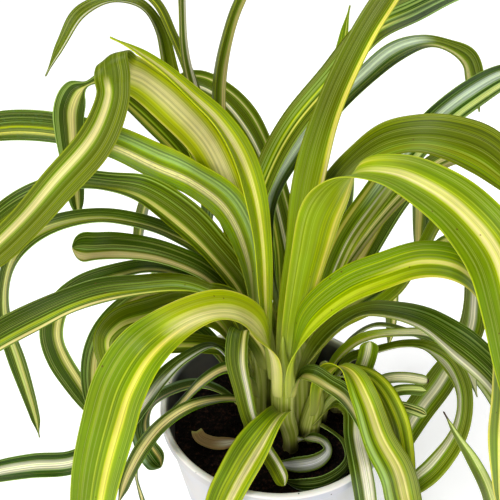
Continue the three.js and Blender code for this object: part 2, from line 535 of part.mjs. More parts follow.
// Frames along a midrib, carried from ring to ring without turning about it. The first upper side
// looks up and back against the heading, which is the level way from the root to the tip.
function midribFrames(points) {
  const count = points.length;
  const ways = points.map((point, i) => {
    const ahead = points[Math.min(i + 1, count - 1)];
    const behind = points[Math.max(i - 1, 0)];
    return ahead.clone().sub(behind).normalize();
  });
  const heading = points[count - 1].clone().sub(points[0]).setZ(0).normalize();
  const up = new THREE.Vector3(0, 0, ways[0].dot(heading)).addScaledVector(heading, -ways[0].z);
  const normals = [up.addScaledVector(ways[0], -up.dot(ways[0])).normalize()];
  for (let i = 1; i < count; i += 1) {
    const chord = points[i].clone().sub(points[i - 1]);
    const mirrored = (v) => v.clone().addScaledVector(chord, (-2 * v.dot(chord)) / chord.lengthSq());
    const normal = mirrored(normals[i - 1]);
    const bend = ways[i].clone().sub(mirrored(ways[i - 1]));
    if (bend.lengthSq() > STRAIGHT) normal.addScaledVector(bend, (-2 * normal.dot(bend)) / bend.lengthSq());
    normals.push(normal);
  }
  return { ways, normals };
}

// How far the two halves of a blade stand up from flat, in degrees, at share t of its length
function foldAt(fold, t) {
  const open = fold === 'deep' ? DEEP_FOLD : BLADE_FOLD;
  const closed = Math.max(0, 1 - t / FOLD_OPENS);
  return open + (Math.max(ROOT_FOLD, open) - open) * closed ** 2;
}

// A leaf blade: three points on its upper face and three under them in every ring, as a channel
function makeLeaf([, fold, knots]) {
  const path = new THREE.CatmullRomCurve3(knots.map(([x, y, z]) => new THREE.Vector3(x, y, z)));
  const steps = Math.max(Math.round(path.getLength() / STEP_LENGTH), knots.length - 1);
  const shares = Array.from({ length: steps + 1 }, (_, i) => i / steps);
  const points = shares.map((t) => path.getPoint(t));
  const { ways, normals } = midribFrames(points);
  const widths = knots.map((knot) => knot[3]);
  const twists = knots.map((knot) => knot[4]);
  const rings = shares.map((t, i) => {
    const turn = THREE.MathUtils.degToRad(smooth(twists, t));
    const upper = normals[i].clone().applyAxisAngle(ways[i], turn);
    const across = ways[i].clone().cross(upper);
    const half = Math.max(smooth(widths, t), TIP_WIDTH) / 2;
    const tilt = THREE.MathUtils.degToRad(foldAt(fold, t));
    const rise = half * Math.tan(tilt);
    const skin = BLADE_THICKNESS / 2 / Math.cos(tilt);
    const corner = (side, depth, face) => points[i].clone()
      .addScaledVector(across, side * half)
      .addScaledVector(upper, face * skin - depth);
    return [
      corner(-1, 0, 1), corner(0, rise, 1), corner(1, 0, 1),
      corner(1, 0, -1), corner(0, rise, -1), corner(-1, 0, -1),
    ];
  });
  const caps = [[0, 1, 4], [0, 4, 5], [1, 2, 3], [1, 3, 4]];
  const blade = toSolid(loft(rings, caps, [3, 4]));
  return toGeometry(mainBody(blade.subtract(spaceRoundClump)));
}

function named(name, geometry, material) {
  const mesh = new THREE.Mesh(geometry, material);
  mesh.name = name;
  return mesh;
}

const holder = new THREE.Group();
holder.add(named('pot', makePot(), potFinish));
holder.add(named('soil', makeSoil(), soilFinish));

const plant = new THREE.Group();
plant.add(named('crown_clump', toGeometry(clumpSolid()), stemFinish));
for (const [name, leaf] of Object.entries(leaves)) {
  plant.add(named(`leaf_${name}`, makeLeaf(leaf), leafFinish(leaf[0])));
}

const pottedPlant = new THREE.Group();
pottedPlant.add(holder, plant);

export default pottedPlant;
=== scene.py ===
"""A potted spider plant: long arching striped leaves, their stems, loose soil and a white pot.

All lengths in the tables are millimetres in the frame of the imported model, and MM turns them into
Blender's metres. +Z is up and the plant's front faces -Y.
"""

import math
import random

import bpy
import numpy as np
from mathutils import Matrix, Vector, noise


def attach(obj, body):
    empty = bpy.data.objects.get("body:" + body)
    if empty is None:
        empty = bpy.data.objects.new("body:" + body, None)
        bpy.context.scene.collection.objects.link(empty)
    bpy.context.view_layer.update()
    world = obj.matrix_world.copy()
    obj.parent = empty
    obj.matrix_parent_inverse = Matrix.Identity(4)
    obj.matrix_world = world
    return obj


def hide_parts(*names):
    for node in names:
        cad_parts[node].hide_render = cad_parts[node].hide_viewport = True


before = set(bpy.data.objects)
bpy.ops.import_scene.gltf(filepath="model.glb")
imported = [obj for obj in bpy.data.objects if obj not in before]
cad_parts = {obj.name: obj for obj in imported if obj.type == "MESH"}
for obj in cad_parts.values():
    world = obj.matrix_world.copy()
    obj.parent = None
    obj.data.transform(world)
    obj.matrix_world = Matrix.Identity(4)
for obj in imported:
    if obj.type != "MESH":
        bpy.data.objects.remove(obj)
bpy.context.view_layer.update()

MM = 0.001

# Pot
POT_HEIGHT = 110
RIM_RADIUS = 65
BASE_RADIUS = 46
WALL = 2.4
FLOOR = 3
LIP_WIDTH = 3.2
LIP_HEIGHT = 7
LIP_STEP = 1.2
EDGE_ROUND = 0.9
DRAIN_HOLES = 6
DRAIN_RADIUS = 3.5
DRAIN_RING = 27
POT_TURNS = 128

# Soil
SOIL_TOP = 92
SOIL_RELIEF = 1.8
SOIL_CLEARANCE = 0.3
SOIL_SPOKES = 120
SOIL_INSETS = 34
CRUMBS = 1300

# Leaves
BLADE_THICKNESS = 0.55
BLADE_STEP = 2.6
ACROSS_CELLS = 8
ROOT_FOLD = 32
BLADE_FOLD = 15
DEEP_FOLD = 38
FOLD_OPENS = 0.3
TIP_WIDTH = 0.7
POINTED_BELOW = 6
POINT_LENGTH = 12
MIDRIB_ROUND = 0.16
RIPPLE = 0.25
UNDERSIDE = 2

# Stems
NECK_SIDES = 40
NECK_LEVELS = 40

# Heights where one colour gives way to another, from and to
BROWN_FOOT = (92, 104)
GREENER_TOP = (144, 158)
# The pot's rim top, painted lighter than the wall as painted light
LIT_RIM_TOP = (108.4, 109.4)
SPATTER_FROM = (96, 104)
# Where the painted shade darkening the pot's inner wall ends
INNER_SHADE_TO = (105, 109)

# How deep behind the pot's outer face its inner face is taken to start, where the painted shade inside the
# pot applies
INNER_WALL = (0.9, 1.5)

# The size of each pattern
TONE_PATCHES = 24
SPECK_SPACING = 4.2
PLASTIC_CLOUDS = 30
SPATTER_SPACING = 5
SOIL_GRAINS = 2.2
VEIN_DEPTH = 0.4

# Merges the ends and seams of a piece that is rolled from a grid
SEAM = 0.01

SEED = 17

# Sockets of a colour mix node, which share their names with its number sockets
MIX_A = 6
MIX_B = 7
MIX_RESULT = 2

# Stems: each neck is its rows of (x, y, z, radius) from its foot, under the soil, to its top
NECKS = [
    [(8, -18, 74, 10.5), (8, -19, 84, 6), (8, -19, 94, 4), (7, -19, 104, 4.6), (3, -22, 122, 5.6),
     (2, -25, 141, 6), (2, -27, 154, 5.6), (1, -27, 166, 2.2), (1, -26, 177, 0.7)],
    [(-12, -8, 74, 10.5), (-12, -9, 88, 6.6), (-12, -9, 110, 6.6), (-12, -9, 138, 6),
     (-13, -9, 154, 2.4)],
    [(-10, 5, 74, 10.5), (-11, 3, 88, 6.6), (-12, 3, 110, 6.6), (-10, 4, 142, 6), (-10, 4, 158, 2.4)],
    [(-6, 18, 74, 10.5), (-6, 18, 88, 7), (-6, 18, 110, 7), (-7, 18, 138, 6), (-8, 19, 156, 2.4)],
    [(-7, 28, 74, 10.5), (-8, 30, 88, 6.4), (-8, 30, 110, 6.4), (-8, 30, 132, 5.6), (-9, 31, 146, 2.4)],
    [(4, 25, 74, 10.5), (4, 27, 88, 7), (4, 27, 110, 7), (4, 28, 134, 5.5), (4, 29, 148, 2.4)],
    [(15, 22, 74, 10.5), (15, 24, 88, 6.4), (15, 24, 110, 6.2), (15, 24, 132, 5.4), (15, 24, 148, 2.4)],
    [(5, 1, 68, 11.5), (8, 0, 78, 10), (13, -1, 90, 6.4), (13, -1, 110, 6.4), (11, 0, 142, 6),
     (10, 0, 158, 2.4)],
    [(18, -9, 74, 10.5), (19, -10, 88, 6.4), (19, -10, 98, 6), (21, -11, 118, 4.5), (22, -12, 128, 2.2)],
    [(24, 3, 74, 10.5), (24, 2, 88, 6.6), (24, 2, 100, 6.4), (26, 3, 122, 5), (27, 3, 134, 2.2)],
    [(36, 9, 74, 10.5), (37, 10, 88, 4.8), (37, 10, 96, 4.6), (37, 10, 108, 2.2)],
]

# Leaves: how far each is folded, and its knots from root to tip as (x, y, z, width, twist). The
# twist is in degrees about the midrib, on top of the frame that is carried along it.
LEAVES = {
    "front_left": ("open", [
        (-1, -29, 142, 8, 0), (-3, -32, 172, 12, -20), (-9, -35, 190, 16, -55), (-19, -43, 206, 20, -25),
        (-32, -58, 218, 22, 5), (-43, -72, 222, 22, 10), (-53, -82, 218, 22, 0),
        (-61, -88, 206, 22, -15), (-67, -92, 188, 21, -30), (-74, -95, 163, 19, -40),
        (-81, -97, 127, 14, -55), (-88, -99, 77, 3, -55),
    ]),
    "front_right": ("open", [
        (4, -29, 142, 8, 0), (4, -33, 171, 12, 10), (10, -34, 193, 16, 40), (25, -36, 212, 18, 40),
        (39, -40, 223, 18, 35), (53, -45, 232, 18, 30), (65, -51, 234, 18, 20), (77, -51, 224, 19, 20),
        (87, -56, 205, 18, 30), (93, -60, 179, 16, 50), (97, -63, 148, 14, 60), (106, -65, 101, 5, 55),
    ]),
    "front_big_right": ("open", [
        (3, -21, 148, 8, 0), (6, -22, 178, 13, -30), (12, -24, 223, 18, -45), (16, -26, 246, 20, -45),
        (24, -30, 264, 22, 0), (38, -38, 268, 23, 15), (51, -47, 265, 24, 25), (62, -56, 259, 25, 30),
        (71, -68, 249, 24, 40), (78, -75, 230, 22, 45), (86, -80, 201, 16, 60), (94, -83, 166, 4, 55),
    ]),
    "upright_right": ("open", [
        (1, -19, 151, 8, 0), (4, -8, 178, 12, 10), (7, -7, 213, 14, 5), (12, 0, 248, 15, 25),
        (19, 3, 278, 13, 15), (31, 11, 304, 12, 15), (41, 17, 319, 12, 15), (52, 24, 333, 9, 25),
        (66, 30, 343, 2, 45),
    ]),
    "inner_left": ("deep", [
        (-3, -22, 146, 6, 0), (-7, -23, 196, 8, -70), (-9, -26, 229, 9, -75), (-12, -28, 252, 11, -70),
        (-17, -30, 270, 11, -60), (-25, -33, 285, 9, -50), (-34, -35, 295, 7, -45),
        (-44, -37, 305, 5, -40), (-53, -40, 312, 3, -40), (-60, -42, 316, 1, -30),
    ]),
    "front_short": ("open", [
        (3, -24, 128, 9, 0), (-5, -44, 141, 14, 20), (-14, -55, 134, 17, -5), (-21, -62, 124, 17, -20),
        (-28, -66, 108, 16, -25), (-36, -75, 88, 8, -5),
    ]),
    "arch_top_left": ("open", [
        (-13, 18, 131, 8, 0), (-21, 25, 196, 11, -50), (-37, 27, 238, 12, -40), (-45, 31, 262, 12, -40),
        (-50, 29, 285, 11, -40), (-54, 35, 302, 9, -35), (-61, 30, 314, 9, -10), (-73, 24, 317, 9, 5),
        (-84, 15, 313, 8, 0), (-91, 8, 303, 6, 5), (-99, 4, 290, 1, -10),
    ]),
    "upright_left_narrow": ("open", [
        (-8, 19, 138, 7, 0), (-20, 24, 205, 9, -15), (-33, 25, 249, 10, -10), (-40, 23, 277, 10, -10),
        (-43, 24, 295, 9, -5), (-43, 25, 316, 7, -5), (-43, 27, 333, 2, -30),
    ]),
    "upright_left_back": ("open", [
        (-7, 28, 130, 7, 0), (-17, 41, 189, 10, -35), (-33, 47, 240, 12, -25), (-41, 36, 277, 11, -15),
        (-49, 36, 300, 10, -10), (-56, 40, 313, 10, -15), (-68, 36, 322, 7, -10), (-80, 32, 323, 2, -5),
    ]),
    "upright_centre_narrow": ("deep", [
        (4, 24, 126, 7, 0), (-13, 32, 182, 9, 40), (-24, 36, 222, 10, 45), (-28, 34, 256, 11, 45),
        (-28, 37, 278, 11, 45), (-24, 50, 296, 10, 50), (-18, 57, 311, 9, 50), (-9, 62, 327, 2, 20),
    ]),
    "left_fold": ("open", [
        (-8, 9, 142, 8, 78), (-14, 10, 195, 13, 76), (-24, 10, 233, 16, 81), (-34, 12, 257, 17, 88),
        (-47, 0, 279, 17, 93), (-57, -9, 292, 15, 101), (-62, -16, 298, 15, 81), (-64, -23, 304, 13, 61),
        (-64, -28, 299, 13, 26), (-64, -30, 293, 12, 21), (-68, -31, 283, 13, 27),
        (-74, -33, 274, 14, 35), (-88, -36, 260, 14, 37), (-101, -41, 247, 13, 38),
        (-115, -46, 235, 12, 37), (-131, -50, 223, 3, 37),
    ]),
    "left_back_dark": ("open", [
        (-9, 25, 129, 7, 0), (-28, 45, 203, 10, -45), (-48, 42, 239, 11, -40), (-63, 37, 260, 12, -40),
        (-74, 28, 276, 11, -25), (-80, 25, 283, 9, -10), (-87, 22, 282, 9, 20), (-92, 20, 279, 13, -25),
        (-96, 19, 271, 14, -55), (-98, 19, 259, 14, -45), (-99, 19, 244, 11, -50),
        (-100, 20, 226, 8, -75), (-101, 21, 210, 2, -85),
    ]),
    "arch_back_centre": ("open", [
        (12, 24, 129, 7, 0), (11, 38, 171, 11, -70), (4, 46, 205, 13, -45), (-6, 48, 237, 13, -40),
        (-16, 47, 257, 14, -40), (-28, 50, 269, 13, -35), (-41, 51, 275, 13, -25),
        (-53, 44, 272, 9, -15), (-60, 42, 265, 2, -25),
    ]),
    "left_upper": ("open", [
        (-9, 1, 142, 8, 0), (-13, -1, 203, 14, -60), (-24, 0, 232, 17, -70), (-41, 4, 244, 18, -90),
        (-60, 18, 247, 17, -70), (-80, 28, 252, 16, -70), (-102, 33, 256, 15, -70),
        (-121, 34, 258, 15, -75), (-138, 34, 257, 14, -80), (-158, 32, 251, 9, -85),
        (-178, 30, 239, 2, -65),
    ]),
    "left_mid": ("open", [
        (-11, 1, 138, 8, 0), (-13, 1, 177, 14, -55), (-31, -4, 213, 17, -35), (-46, -2, 229, 17, -45),
        (-63, 0, 241, 16, -30), (-79, 3, 243, 15, -15), (-93, 1, 245, 15, -15), (-107, 0, 241, 15, -25),
        (-120, -2, 235, 13, -40), (-135, -4, 224, 10, -50), (-154, -6, 206, 2, -55),
    ]),
    "right_up_broad": ("open", [
        (-4, 17, 140, 8, 0), (-11, 19, 181, 10, 30), (-13, 21, 216, 13, 30), (-6, 26, 239, 14, 35),
        (5, 25, 262, 15, 30), (22, 28, 283, 16, 25), (39, 32, 303, 17, 25), (57, 36, 311, 17, 25),
        (73, 40, 317, 14, 25), (96, 44, 321, 3, 40),
    ]),
    "right_arch_back": ("open", [
        (8, 28, 125, 8, 0), (-4, 31, 179, 9, 20), (-4, 33, 218, 11, 15), (10, 39, 244, 12, 15),
        (25, 44, 262, 12, 25), (40, 49, 276, 12, 25), (56, 54, 288, 12, 30), (71, 58, 292, 10, 20),
        (84, 61, 289, 9, 35), (96, 63, 282, 12, 60), (102, 65, 270, 10, 90), (108, 67, 253, 3, 115),
    ]),
    "right_far_up": ("open", [
        (12, 3, 142, 8, 0), (23, 8, 179, 12, 45), (32, 10, 208, 14, 40), (44, 12, 230, 15, 35),
        (57, 13, 251, 15, 40), (70, 13, 269, 15, 35), (83, 13, 281, 15, 30), (94, 13, 288, 12, 30),
        (110, 13, 292, 3, 35),
    ]),
    "right_arch_broad": ("open", [
        (10, -2, 147, 8, 0), (11, 1, 187, 13, 60), (18, 6, 224, 17, 50), (26, -6, 254, 20, 20),
        (38, -15, 269, 20, 25), (50, -21, 275, 20, 20), (62, -25, 275, 20, 30), (75, -29, 271, 20, 40),
        (87, -33, 262, 15, 45), (102, -37, 247, 3, 60),
    ]),
    "right_low_dark": ("open", [
        (7, -18, 135, 8, 0), (15, -18, 160, 11, 25), (26, -19, 178, 14, 10), (39, -22, 190, 15, -5),
        (53, -26, 192, 15, 0), (65, -30, 190, 15, 15), (76, -34, 184, 16, 35), (86, -38, 177, 16, 65),
        (99, -42, 165, 15, 70), (109, -46, 149, 11, 80), (120, -50, 126, 3, 80),
    ]),
    "right_back_dark": ("open", [
        (17, 21, 132, 7, 0), (25, 18, 165, 10, 20), (38, 22, 191, 12, 10), (51, 26, 211, 13, 10),
        (64, 29, 227, 13, 15), (80, 32, 241, 13, 20), (99, 34, 245, 12, 35), (121, 35, 237, 9, 50),
        (142, 36, 219, 2, 75),
    ]),
    "right_back_hang": ("open", [
        (15, 2, 134, 7, 0), (34, 14, 151, 9, 15), (53, 20, 159, 11, 5), (67, 25, 169, 12, 0),
        (77, 30, 188, 12, 0), (85, 34, 207, 13, 0), (93, 36, 214, 14, 10), (103, 35, 204, 14, 55),
        (109, 33, 182, 14, 75), (113, 30, 156, 15, 75), (113, 26, 137, 16, 90), (106, 21, 121, 16, 85),
        (97, 16, 104, 17, 115), (87, 12, 86, 17, 115), (74, 4, 60, 15, 115),
    ]),
    "right_back_low": ("open", [
        (19, 24, 118, 7, 0), (38, 34, 141, 10, 10), (64, 42, 157, 11, 10), (87, 48, 172, 11, 10),
        (101, 53, 181, 11, 15), (113, 57, 177, 10, 50), (125, 60, 162, 8, 80), (135, 61, 134, 2, 120),
    ]),
    "tip_behind_right": ("deep", [
        (8, 28, 126, 6, 0), (10, 50, 171, 8, -20), (16, 58, 224, 9, -30), (25, 62, 264, 8, -25),
        (31, 66, 288, 6, -25), (35, 72, 306, 1, 25),
    ]),
    "left_arch_low": ("open", [
        (-14, 4, 138, 8, 0), (-21, 12, 177, 12, -40), (-37, 4, 206, 13, -20), (-52, 0, 219, 13, -10),
        (-65, -8, 229, 12, -5), (-81, -9, 232, 12, -5), (-99, -11, 230, 12, -15),
        (-113, -13, 224, 12, -30), (-123, -15, 213, 11, -30), (-130, -16, 196, 10, -40),
        (-133, -17, 176, 10, -60), (-131, -19, 155, 10, -75), (-129, -21, 135, 8, -80),
        (-128, -22, 116, 5, -85), (-128, -23, 103, 1, -110),
    ]),
    "left_cut_end": ("open", [
        (-13, -5, 142, 8, 0), (-20, 0, 175, 12, -40), (-34, -11, 203, 13, -20), (-46, -16, 214, 13, -15),
        (-59, -18, 220, 14, -15), (-74, -20, 223, 15, -20), (-84, -21, 223, 15, -25),
        (-92, -22, 223, 14, -60),
    ]),
    "left_low_broad": ("open", [
        (-12, -11, 142, 8, 0), (-19, -15, 181, 12, -55), (-30, -31, 206, 14, 10), (-45, -28, 209, 15, 0),
        (-62, -34, 212, 15, 0), (-78, -38, 212, 15, -10), (-90, -42, 210, 15, -10),
        (-104, -45, 204, 15, -20), (-120, -48, 196, 15, -25), (-136, -51, 186, 12, -35),
        (-155, -54, 167, 2, -65),
    ]),
    "left_low_curl": ("open", [
        (-14, 4, 126, 7, 0), (-27, 2, 177, 10, -35), (-46, -4, 198, 11, -15), (-62, -7, 204, 11, -10),
        (-79, -10, 202, 12, -15), (-96, -13, 196, 13, -25), (-106, -16, 186, 13, -50),
        (-111, -18, 172, 13, -70), (-111, -16, 153, 13, -90), (-105, -19, 140, 12, -95),
        (-98, -22, 127, 9, -100), (-91, -24, 114, 3, -105),
    ]),
    "left_low_inner": ("open", [
        (-13, -6, 125, 7, 0), (-26, -10, 171, 9, -45), (-41, -11, 191, 10, -15),
        (-61, -15, 195, 10, -10), (-73, -18, 191, 11, -15), (-84, -21, 179, 11, -35),
        (-91, -23, 164, 11, -55), (-94, -25, 146, 10, -80), (-93, -29, 131, 7, -90),
        (-89, -31, 115, 2, -100),
    ]),
    "left_white_low": ("open", [
        (-15, -9, 124, 7, 0), (-23, -12, 148, 8, -10), (-33, -14, 161, 8, 20), (-46, -24, 162, 8, 15),
        (-58, -28, 152, 10, 5), (-67, -32, 140, 10, 0), (-84, -37, 119, 11, -10),
        (-105, -42, 107, 12, -25), (-125, -45, 108, 12, -20), (-145, -48, 106, 10, -25),
        (-167, -50, 96, 2, -30),
    ]),
    "left_flat_inner": ("open", [
        (-14, -4, 112, 7, -34), (-22, 1, 141, 9, -41), (-38, -10, 158, 10, -45),
        (-56, -18, 165, 10, -44), (-66, -33, 175, 8, -45), (-73, -37, 180, 3, -46),
    ]),
    "left_under_dark": ("open", [
        (-13, -8, 138, 7, -42), (-30, -24, 187, 13, -55), (-45, -33, 200, 16, -47),
        (-59, -30, 194, 16, -42), (-72, -36, 193, 15, -37), (-78, -42, 188, 13, -32),
        (-76, -46, 175, 11, -43), (-71, -48, 163, 4, -50),
    ]),
    "left_under_back": ("open", [
        (-14, 1, 104, 7, -38), (-34, 6, 144, 12, -40), (-47, -2, 161, 15, -40), (-61, -10, 164, 15, -29),
        (-70, -26, 168, 12, -25), (-77, -32, 160, 4, -26),
    ]),
    "left_cream_a": ("open", [
        (-11, -13, 126, 7, 0), (-16, -25, 156, 11, -15), (-27, -25, 156, 12, 0), (-39, -28, 149, 11, -5),
        (-51, -30, 134, 8, -10), (-60, -38, 129, 8, 0), (-68, -44, 118, 8, 0), (-73, -44, 101, 6, -20),
        (-72, -44, 83, 5, -45), (-69, -46, 63, 1, -85),
    ]),
    "left_cream_b": ("open", [
        (-11, -15, 116, 7, 0), (-19, -23, 132, 8, 5), (-29, -27, 137, 8, 10), (-44, -40, 145, 8, 5),
        (-58, -42, 134, 9, -5), (-66, -49, 127, 9, -15), (-74, -53, 112, 8, -20), (-81, -56, 92, 2, -60),
    ]),
    "left_folded_blunt": ("open", [
        (-16, -9, 110, 7, 0), (-28, -15, 130, 9, -10), (-42, -18, 139, 10, -5), (-59, -21, 135, 11, -10),
        (-67, -23, 128, 12, -20), (-71, -29, 120, 14, -45), (-68, -34, 108, 14, -65),
        (-60, -42, 103, 13, -80),
    ]),
    "front_dark_over_rim": ("open", [
        (-6, -13, 145, 7, 0), (-12, -18, 166, 9, -20), (-19, -23, 179, 11, -38),
        (-21, -32, 169, 12, -40), (-18, -35, 150, 11, -40), (-14, -37, 131, 10, -45),
        (-8, -44, 121, 10, -45), (-2, -53, 117, 10, -45), (2, -61, 114, 10, -45),
    ]),
    "right_arch_front": ("open", [
        (6, -29, 141, 7, 0), (10, -26, 153, 8, 15), (16, -30, 157, 9, 25), (24, -33, 153, 9, 20),
        (32, -33, 146, 10, 25), (41, -31, 129, 9, 35), (46, -40, 122, 7, 40), (50, -45, 109, 2, 35),
    ]),
    "front_right_hang": ("open", [
        (20, -13, 112, 8, 0), (22, -16, 139, 11, -30), (28, -21, 155, 13, -35), (35, -26, 155, 14, -10),
        (41, -38, 147, 14, 25), (48, -47, 129, 16, 35), (57, -52, 113, 18, 35), (65, -49, 86, 19, 45),
        (71, -52, 60, 16, 65), (76, -56, 34, 3, 65),
    ]),
    "right_second_hang": ("open", [
        (23, -7, 108, 8, 0), (30, -7, 131, 10, -35), (37, -12, 141, 12, 5), (47, -17, 142, 12, 10),
        (54, -22, 136, 13, 30), (60, -31, 126, 13, 45), (64, -36, 110, 12, 65), (68, -40, 90, 9, 70),
        (71, -42, 68, 2, 70),
    ]),
    "front_right_white": ("open", [
        (20, -13, 104, 8, 37), (29, -15, 123, 9, 57), (33, -20, 129, 10, 59), (39, -23, 124, 11, 58),
        (39, -34, 118, 12, 41), (39, -54, 118, 12, 46), (43, -57, 98, 12, 49), (46, -62, 76, 10, 49),
        (50, -64, 52, 2, 50),
    ]),
    "right_loop": ("deep", [
        (27, 2, 108, 8, 0), (38, 4, 135, 8, 35), (55, 3, 144, 7, 30), (66, -3, 153, 7, 25),
        (75, -12, 159, 8, 25), (85, -18, 154, 10, 55), (94, -21, 140, 10, 55), (97, -24, 125, 10, 65),
        (95, -27, 107, 11, 85), (85, -31, 88, 12, 105), (76, -34, 79, 11, 105), (66, -37, 69, 3, 125),
    ]),
    "right_upper_loop": ("open", [
        (24, 6, 114, 7, 0), (35, 5, 139, 8, 15), (47, 3, 152, 9, 0), (64, 4, 154, 9, 0),
        (79, -1, 157, 9, 5), (89, -6, 153, 9, 30), (100, -9, 141, 8, 50), (108, -12, 122, 2, 45),
    ]),
    "right_cut_stub": ("open", [
        (36, 8, 98, 8, 148), (44, -1, 121, 9, 143), (46, -5, 135, 10, 143), (47, -7, 147, 10, 143),
        (47, -8, 158, 10, 143),
    ]),
    "right_small_curl": ("open", [
        (38, 9, 97, 6, 57), (54, 2, 114, 6, 53), (60, -2, 126, 6, 56), (70, -6, 131, 6, 60),
        (81, -10, 132, 6, 60),
    ]),
    "right_small_pale": ("open", [
        (42, 8, 95, 6, 60), (59, -2, 110, 6, 58), (66, -6, 121, 6, 58), (72, -9, 125, 6, 62),
        (80, -11, 126, 6, 62),
    ]),
    "right_small_striped": ("open", [
        (38, 4, 96, 6, 62), (58, -15, 114, 6, 61), (68, -10, 113, 6, 63), (74, -13, 114, 6, 63),
        (81, -16, 113, 6, 61),
    ]),
    "soil_curl_white": ("open", [
        (10, -18, 97, 6, 0), (17, -22, 103, 8, 95), (25, -25, 103, 8, 95), (27, -30, 101, 7, 90),
        (21, -35, 99, 9, 90), (8, -36, 97, 9, 90), (-3, -33, 96, 4, 90),
    ]),
    "soil_curl_dark": ("open", [
        (24, -10, 98, 7, 0), (31, -14, 97, 8, 0), (37, -25, 100, 8, -5), (36, -37, 99, 10, -30),
        (24, -46, 97, 10, -30), (10, -47, 96, 9, -30), (2, -42, 94, 3, -15),
    ]),
    "soil_scrap": ("open", [
        (-45, -9, 94, 6, 0), (-42, -15, 94, 8, 0), (-33, -19, 94, 8, 10), (-24, -18, 94, 8, 15),
        (-18, -17, 94, 5, 20),
    ]),
    "right_tip_low": ("open", [
        (28, 8, 108, 7, 0), (37, 20, 126, 9, 55), (54, 15, 151, 10, 30), (76, 10, 148, 11, 40),
        (102, 4, 133, 11, 60), (127, -4, 104, 11, 85), (136, -28, 83, 10, 120), (146, -36, 41, 9, 125),
        (133, -52, 35, 8, 95), (115, -56, 71, 8, 40), (101, -58, 107, 7, 40), (89, -59, 130, 6, 30),
        (78, -60, 148, 3, 25), (69, -61, 164, 1, 20),
    ]),
    "back_left_high": ("open", [
        (-10, 32, 130, 8, 0), (-22, 56, 172, 12, 0), (-36, 82, 208, 16, 0), (-62, 99, 206, 17, 0),
        (-82, 112, 182, 16, 0), (-93, 121, 146, 12, 0), (-97, 126, 110, 3, 0),
    ]),
    "back_centre_left": ("open", [
        (4, 33, 132, 8, 0), (0, 62, 182, 12, 0), (-14, 88, 218, 16, 0), (-28, 117, 218, 18, 0),
        (-40, 142, 190, 16, 0), (-46, 156, 150, 12, 0), (-48, 161, 112, 3, 0),
    ]),
    "back_centre_right": ("open", [
        (15, 27, 122, 8, 0), (25, 52, 170, 12, 0), (34, 78, 202, 16, 0), (43, 106, 200, 17, 0),
        (50, 130, 172, 15, 0), (53, 142, 134, 11, 0), (55, 147, 100, 3, 0),
    ]),
    "back_right_high": ("open", [
        (19, 24, 128, 8, 0), (44, 36, 170, 12, 0), (66, 56, 204, 16, 0), (84, 82, 208, 17, 0),
        (98, 106, 184, 16, 0), (106, 120, 146, 12, 0), (111, 126, 108, 3, 0),
    ]),
    "back_low_left": ("open", [
        (-12, 20, 112, 8, 0), (-28, 38, 146, 12, 0), (-50, 64, 158, 15, 0), (-70, 90, 142, 15, 0),
        (-84, 108, 108, 13, 0), (-91, 118, 68, 9, 0), (-94, 122, 36, 2, 0),
    ]),
    "back_low_right": ("open", [
        (18, 25, 106, 8, 0), (36, 43, 140, 12, 0), (60, 72, 154, 15, 0), (78, 98, 136, 15, 0),
        (90, 116, 100, 12, 0), (96, 125, 62, 9, 0), (98, 128, 34, 2, 0),
    ]),
}

# The colours of the plant, its pot and soil, a few of them holding painted light or shade where noted
PALETTE = {
    "white": "F8FAF2",
    "ivory": "FBF8D6",
    "cream": "EDE7AE",
    "butter": "E0DA84",
    "lemon": "EEEA9E",
    "sulphur": "C4CB68",
    "straw": "D0CB8F",
    "sand": "C0B57C",
    "buff": "D7CB9A",
    "shell": "E6E2CC",
    "mist": "C6D3C0",
    "mint": "D0DB9A",
    "sage": "9CB576",
    "willow": "B7C461",
    "lime": "A3B134",
    "spring": "839D10",
    "leaf": "688608",
    "moss": "546505",
    "olive": "425203",
    "forest": "374E03",
    "deep": "2A4102",
    "night": "203A04",
    "shade": "3A5227",
    "jade": "5B7C56",
    "sea": "8AA188",
    "slate": "2B4112",
    "khaki": "78852C",
    "drab": "8F8A5C",
    "husk": "A48A6C",
    "edge": "5E7A36",
    # Pot: its off-white plastic, greyed on the wall as painted shade; the rim colour is lighter as painted
    # light on the rim top
    "pot": "B8BBC3",
    "potwarm": "C2BFBB",
    "pot_lit_rim": "E9E7DF",
    "peat": "040302",
    "humus": "100A07",
    "bark": "38221A",
    "rust": "5C3828",
    "speck": "5A3A14",
}

# A leaf's greens and creams as (margin, flank, beside a streak, streak): the thin line along its
# edges, the green of most of its width, the green next to a streak, and the streak's usual tint
COATS = {
    "lime": ("sulphur", "spring", "lime", "butter"),
    "pale": ("butter", "lime", "sulphur", "cream"),
    "fresh": ("willow", "leaf", "spring", "butter"),
    "olive": ("khaki", "moss", "leaf", "straw"),
    "deep": ("sage", "forest", "moss", "straw"),
    # Painted shade: the night coat's darker greens are for low leaves that lie in shade
    "night": ("edge", "deep", "forest", "sand"),
    "dusty": ("sage", "slate", "shade", "mist"),
    "dry": ("drab", "husk", "husk", "shell"),
}

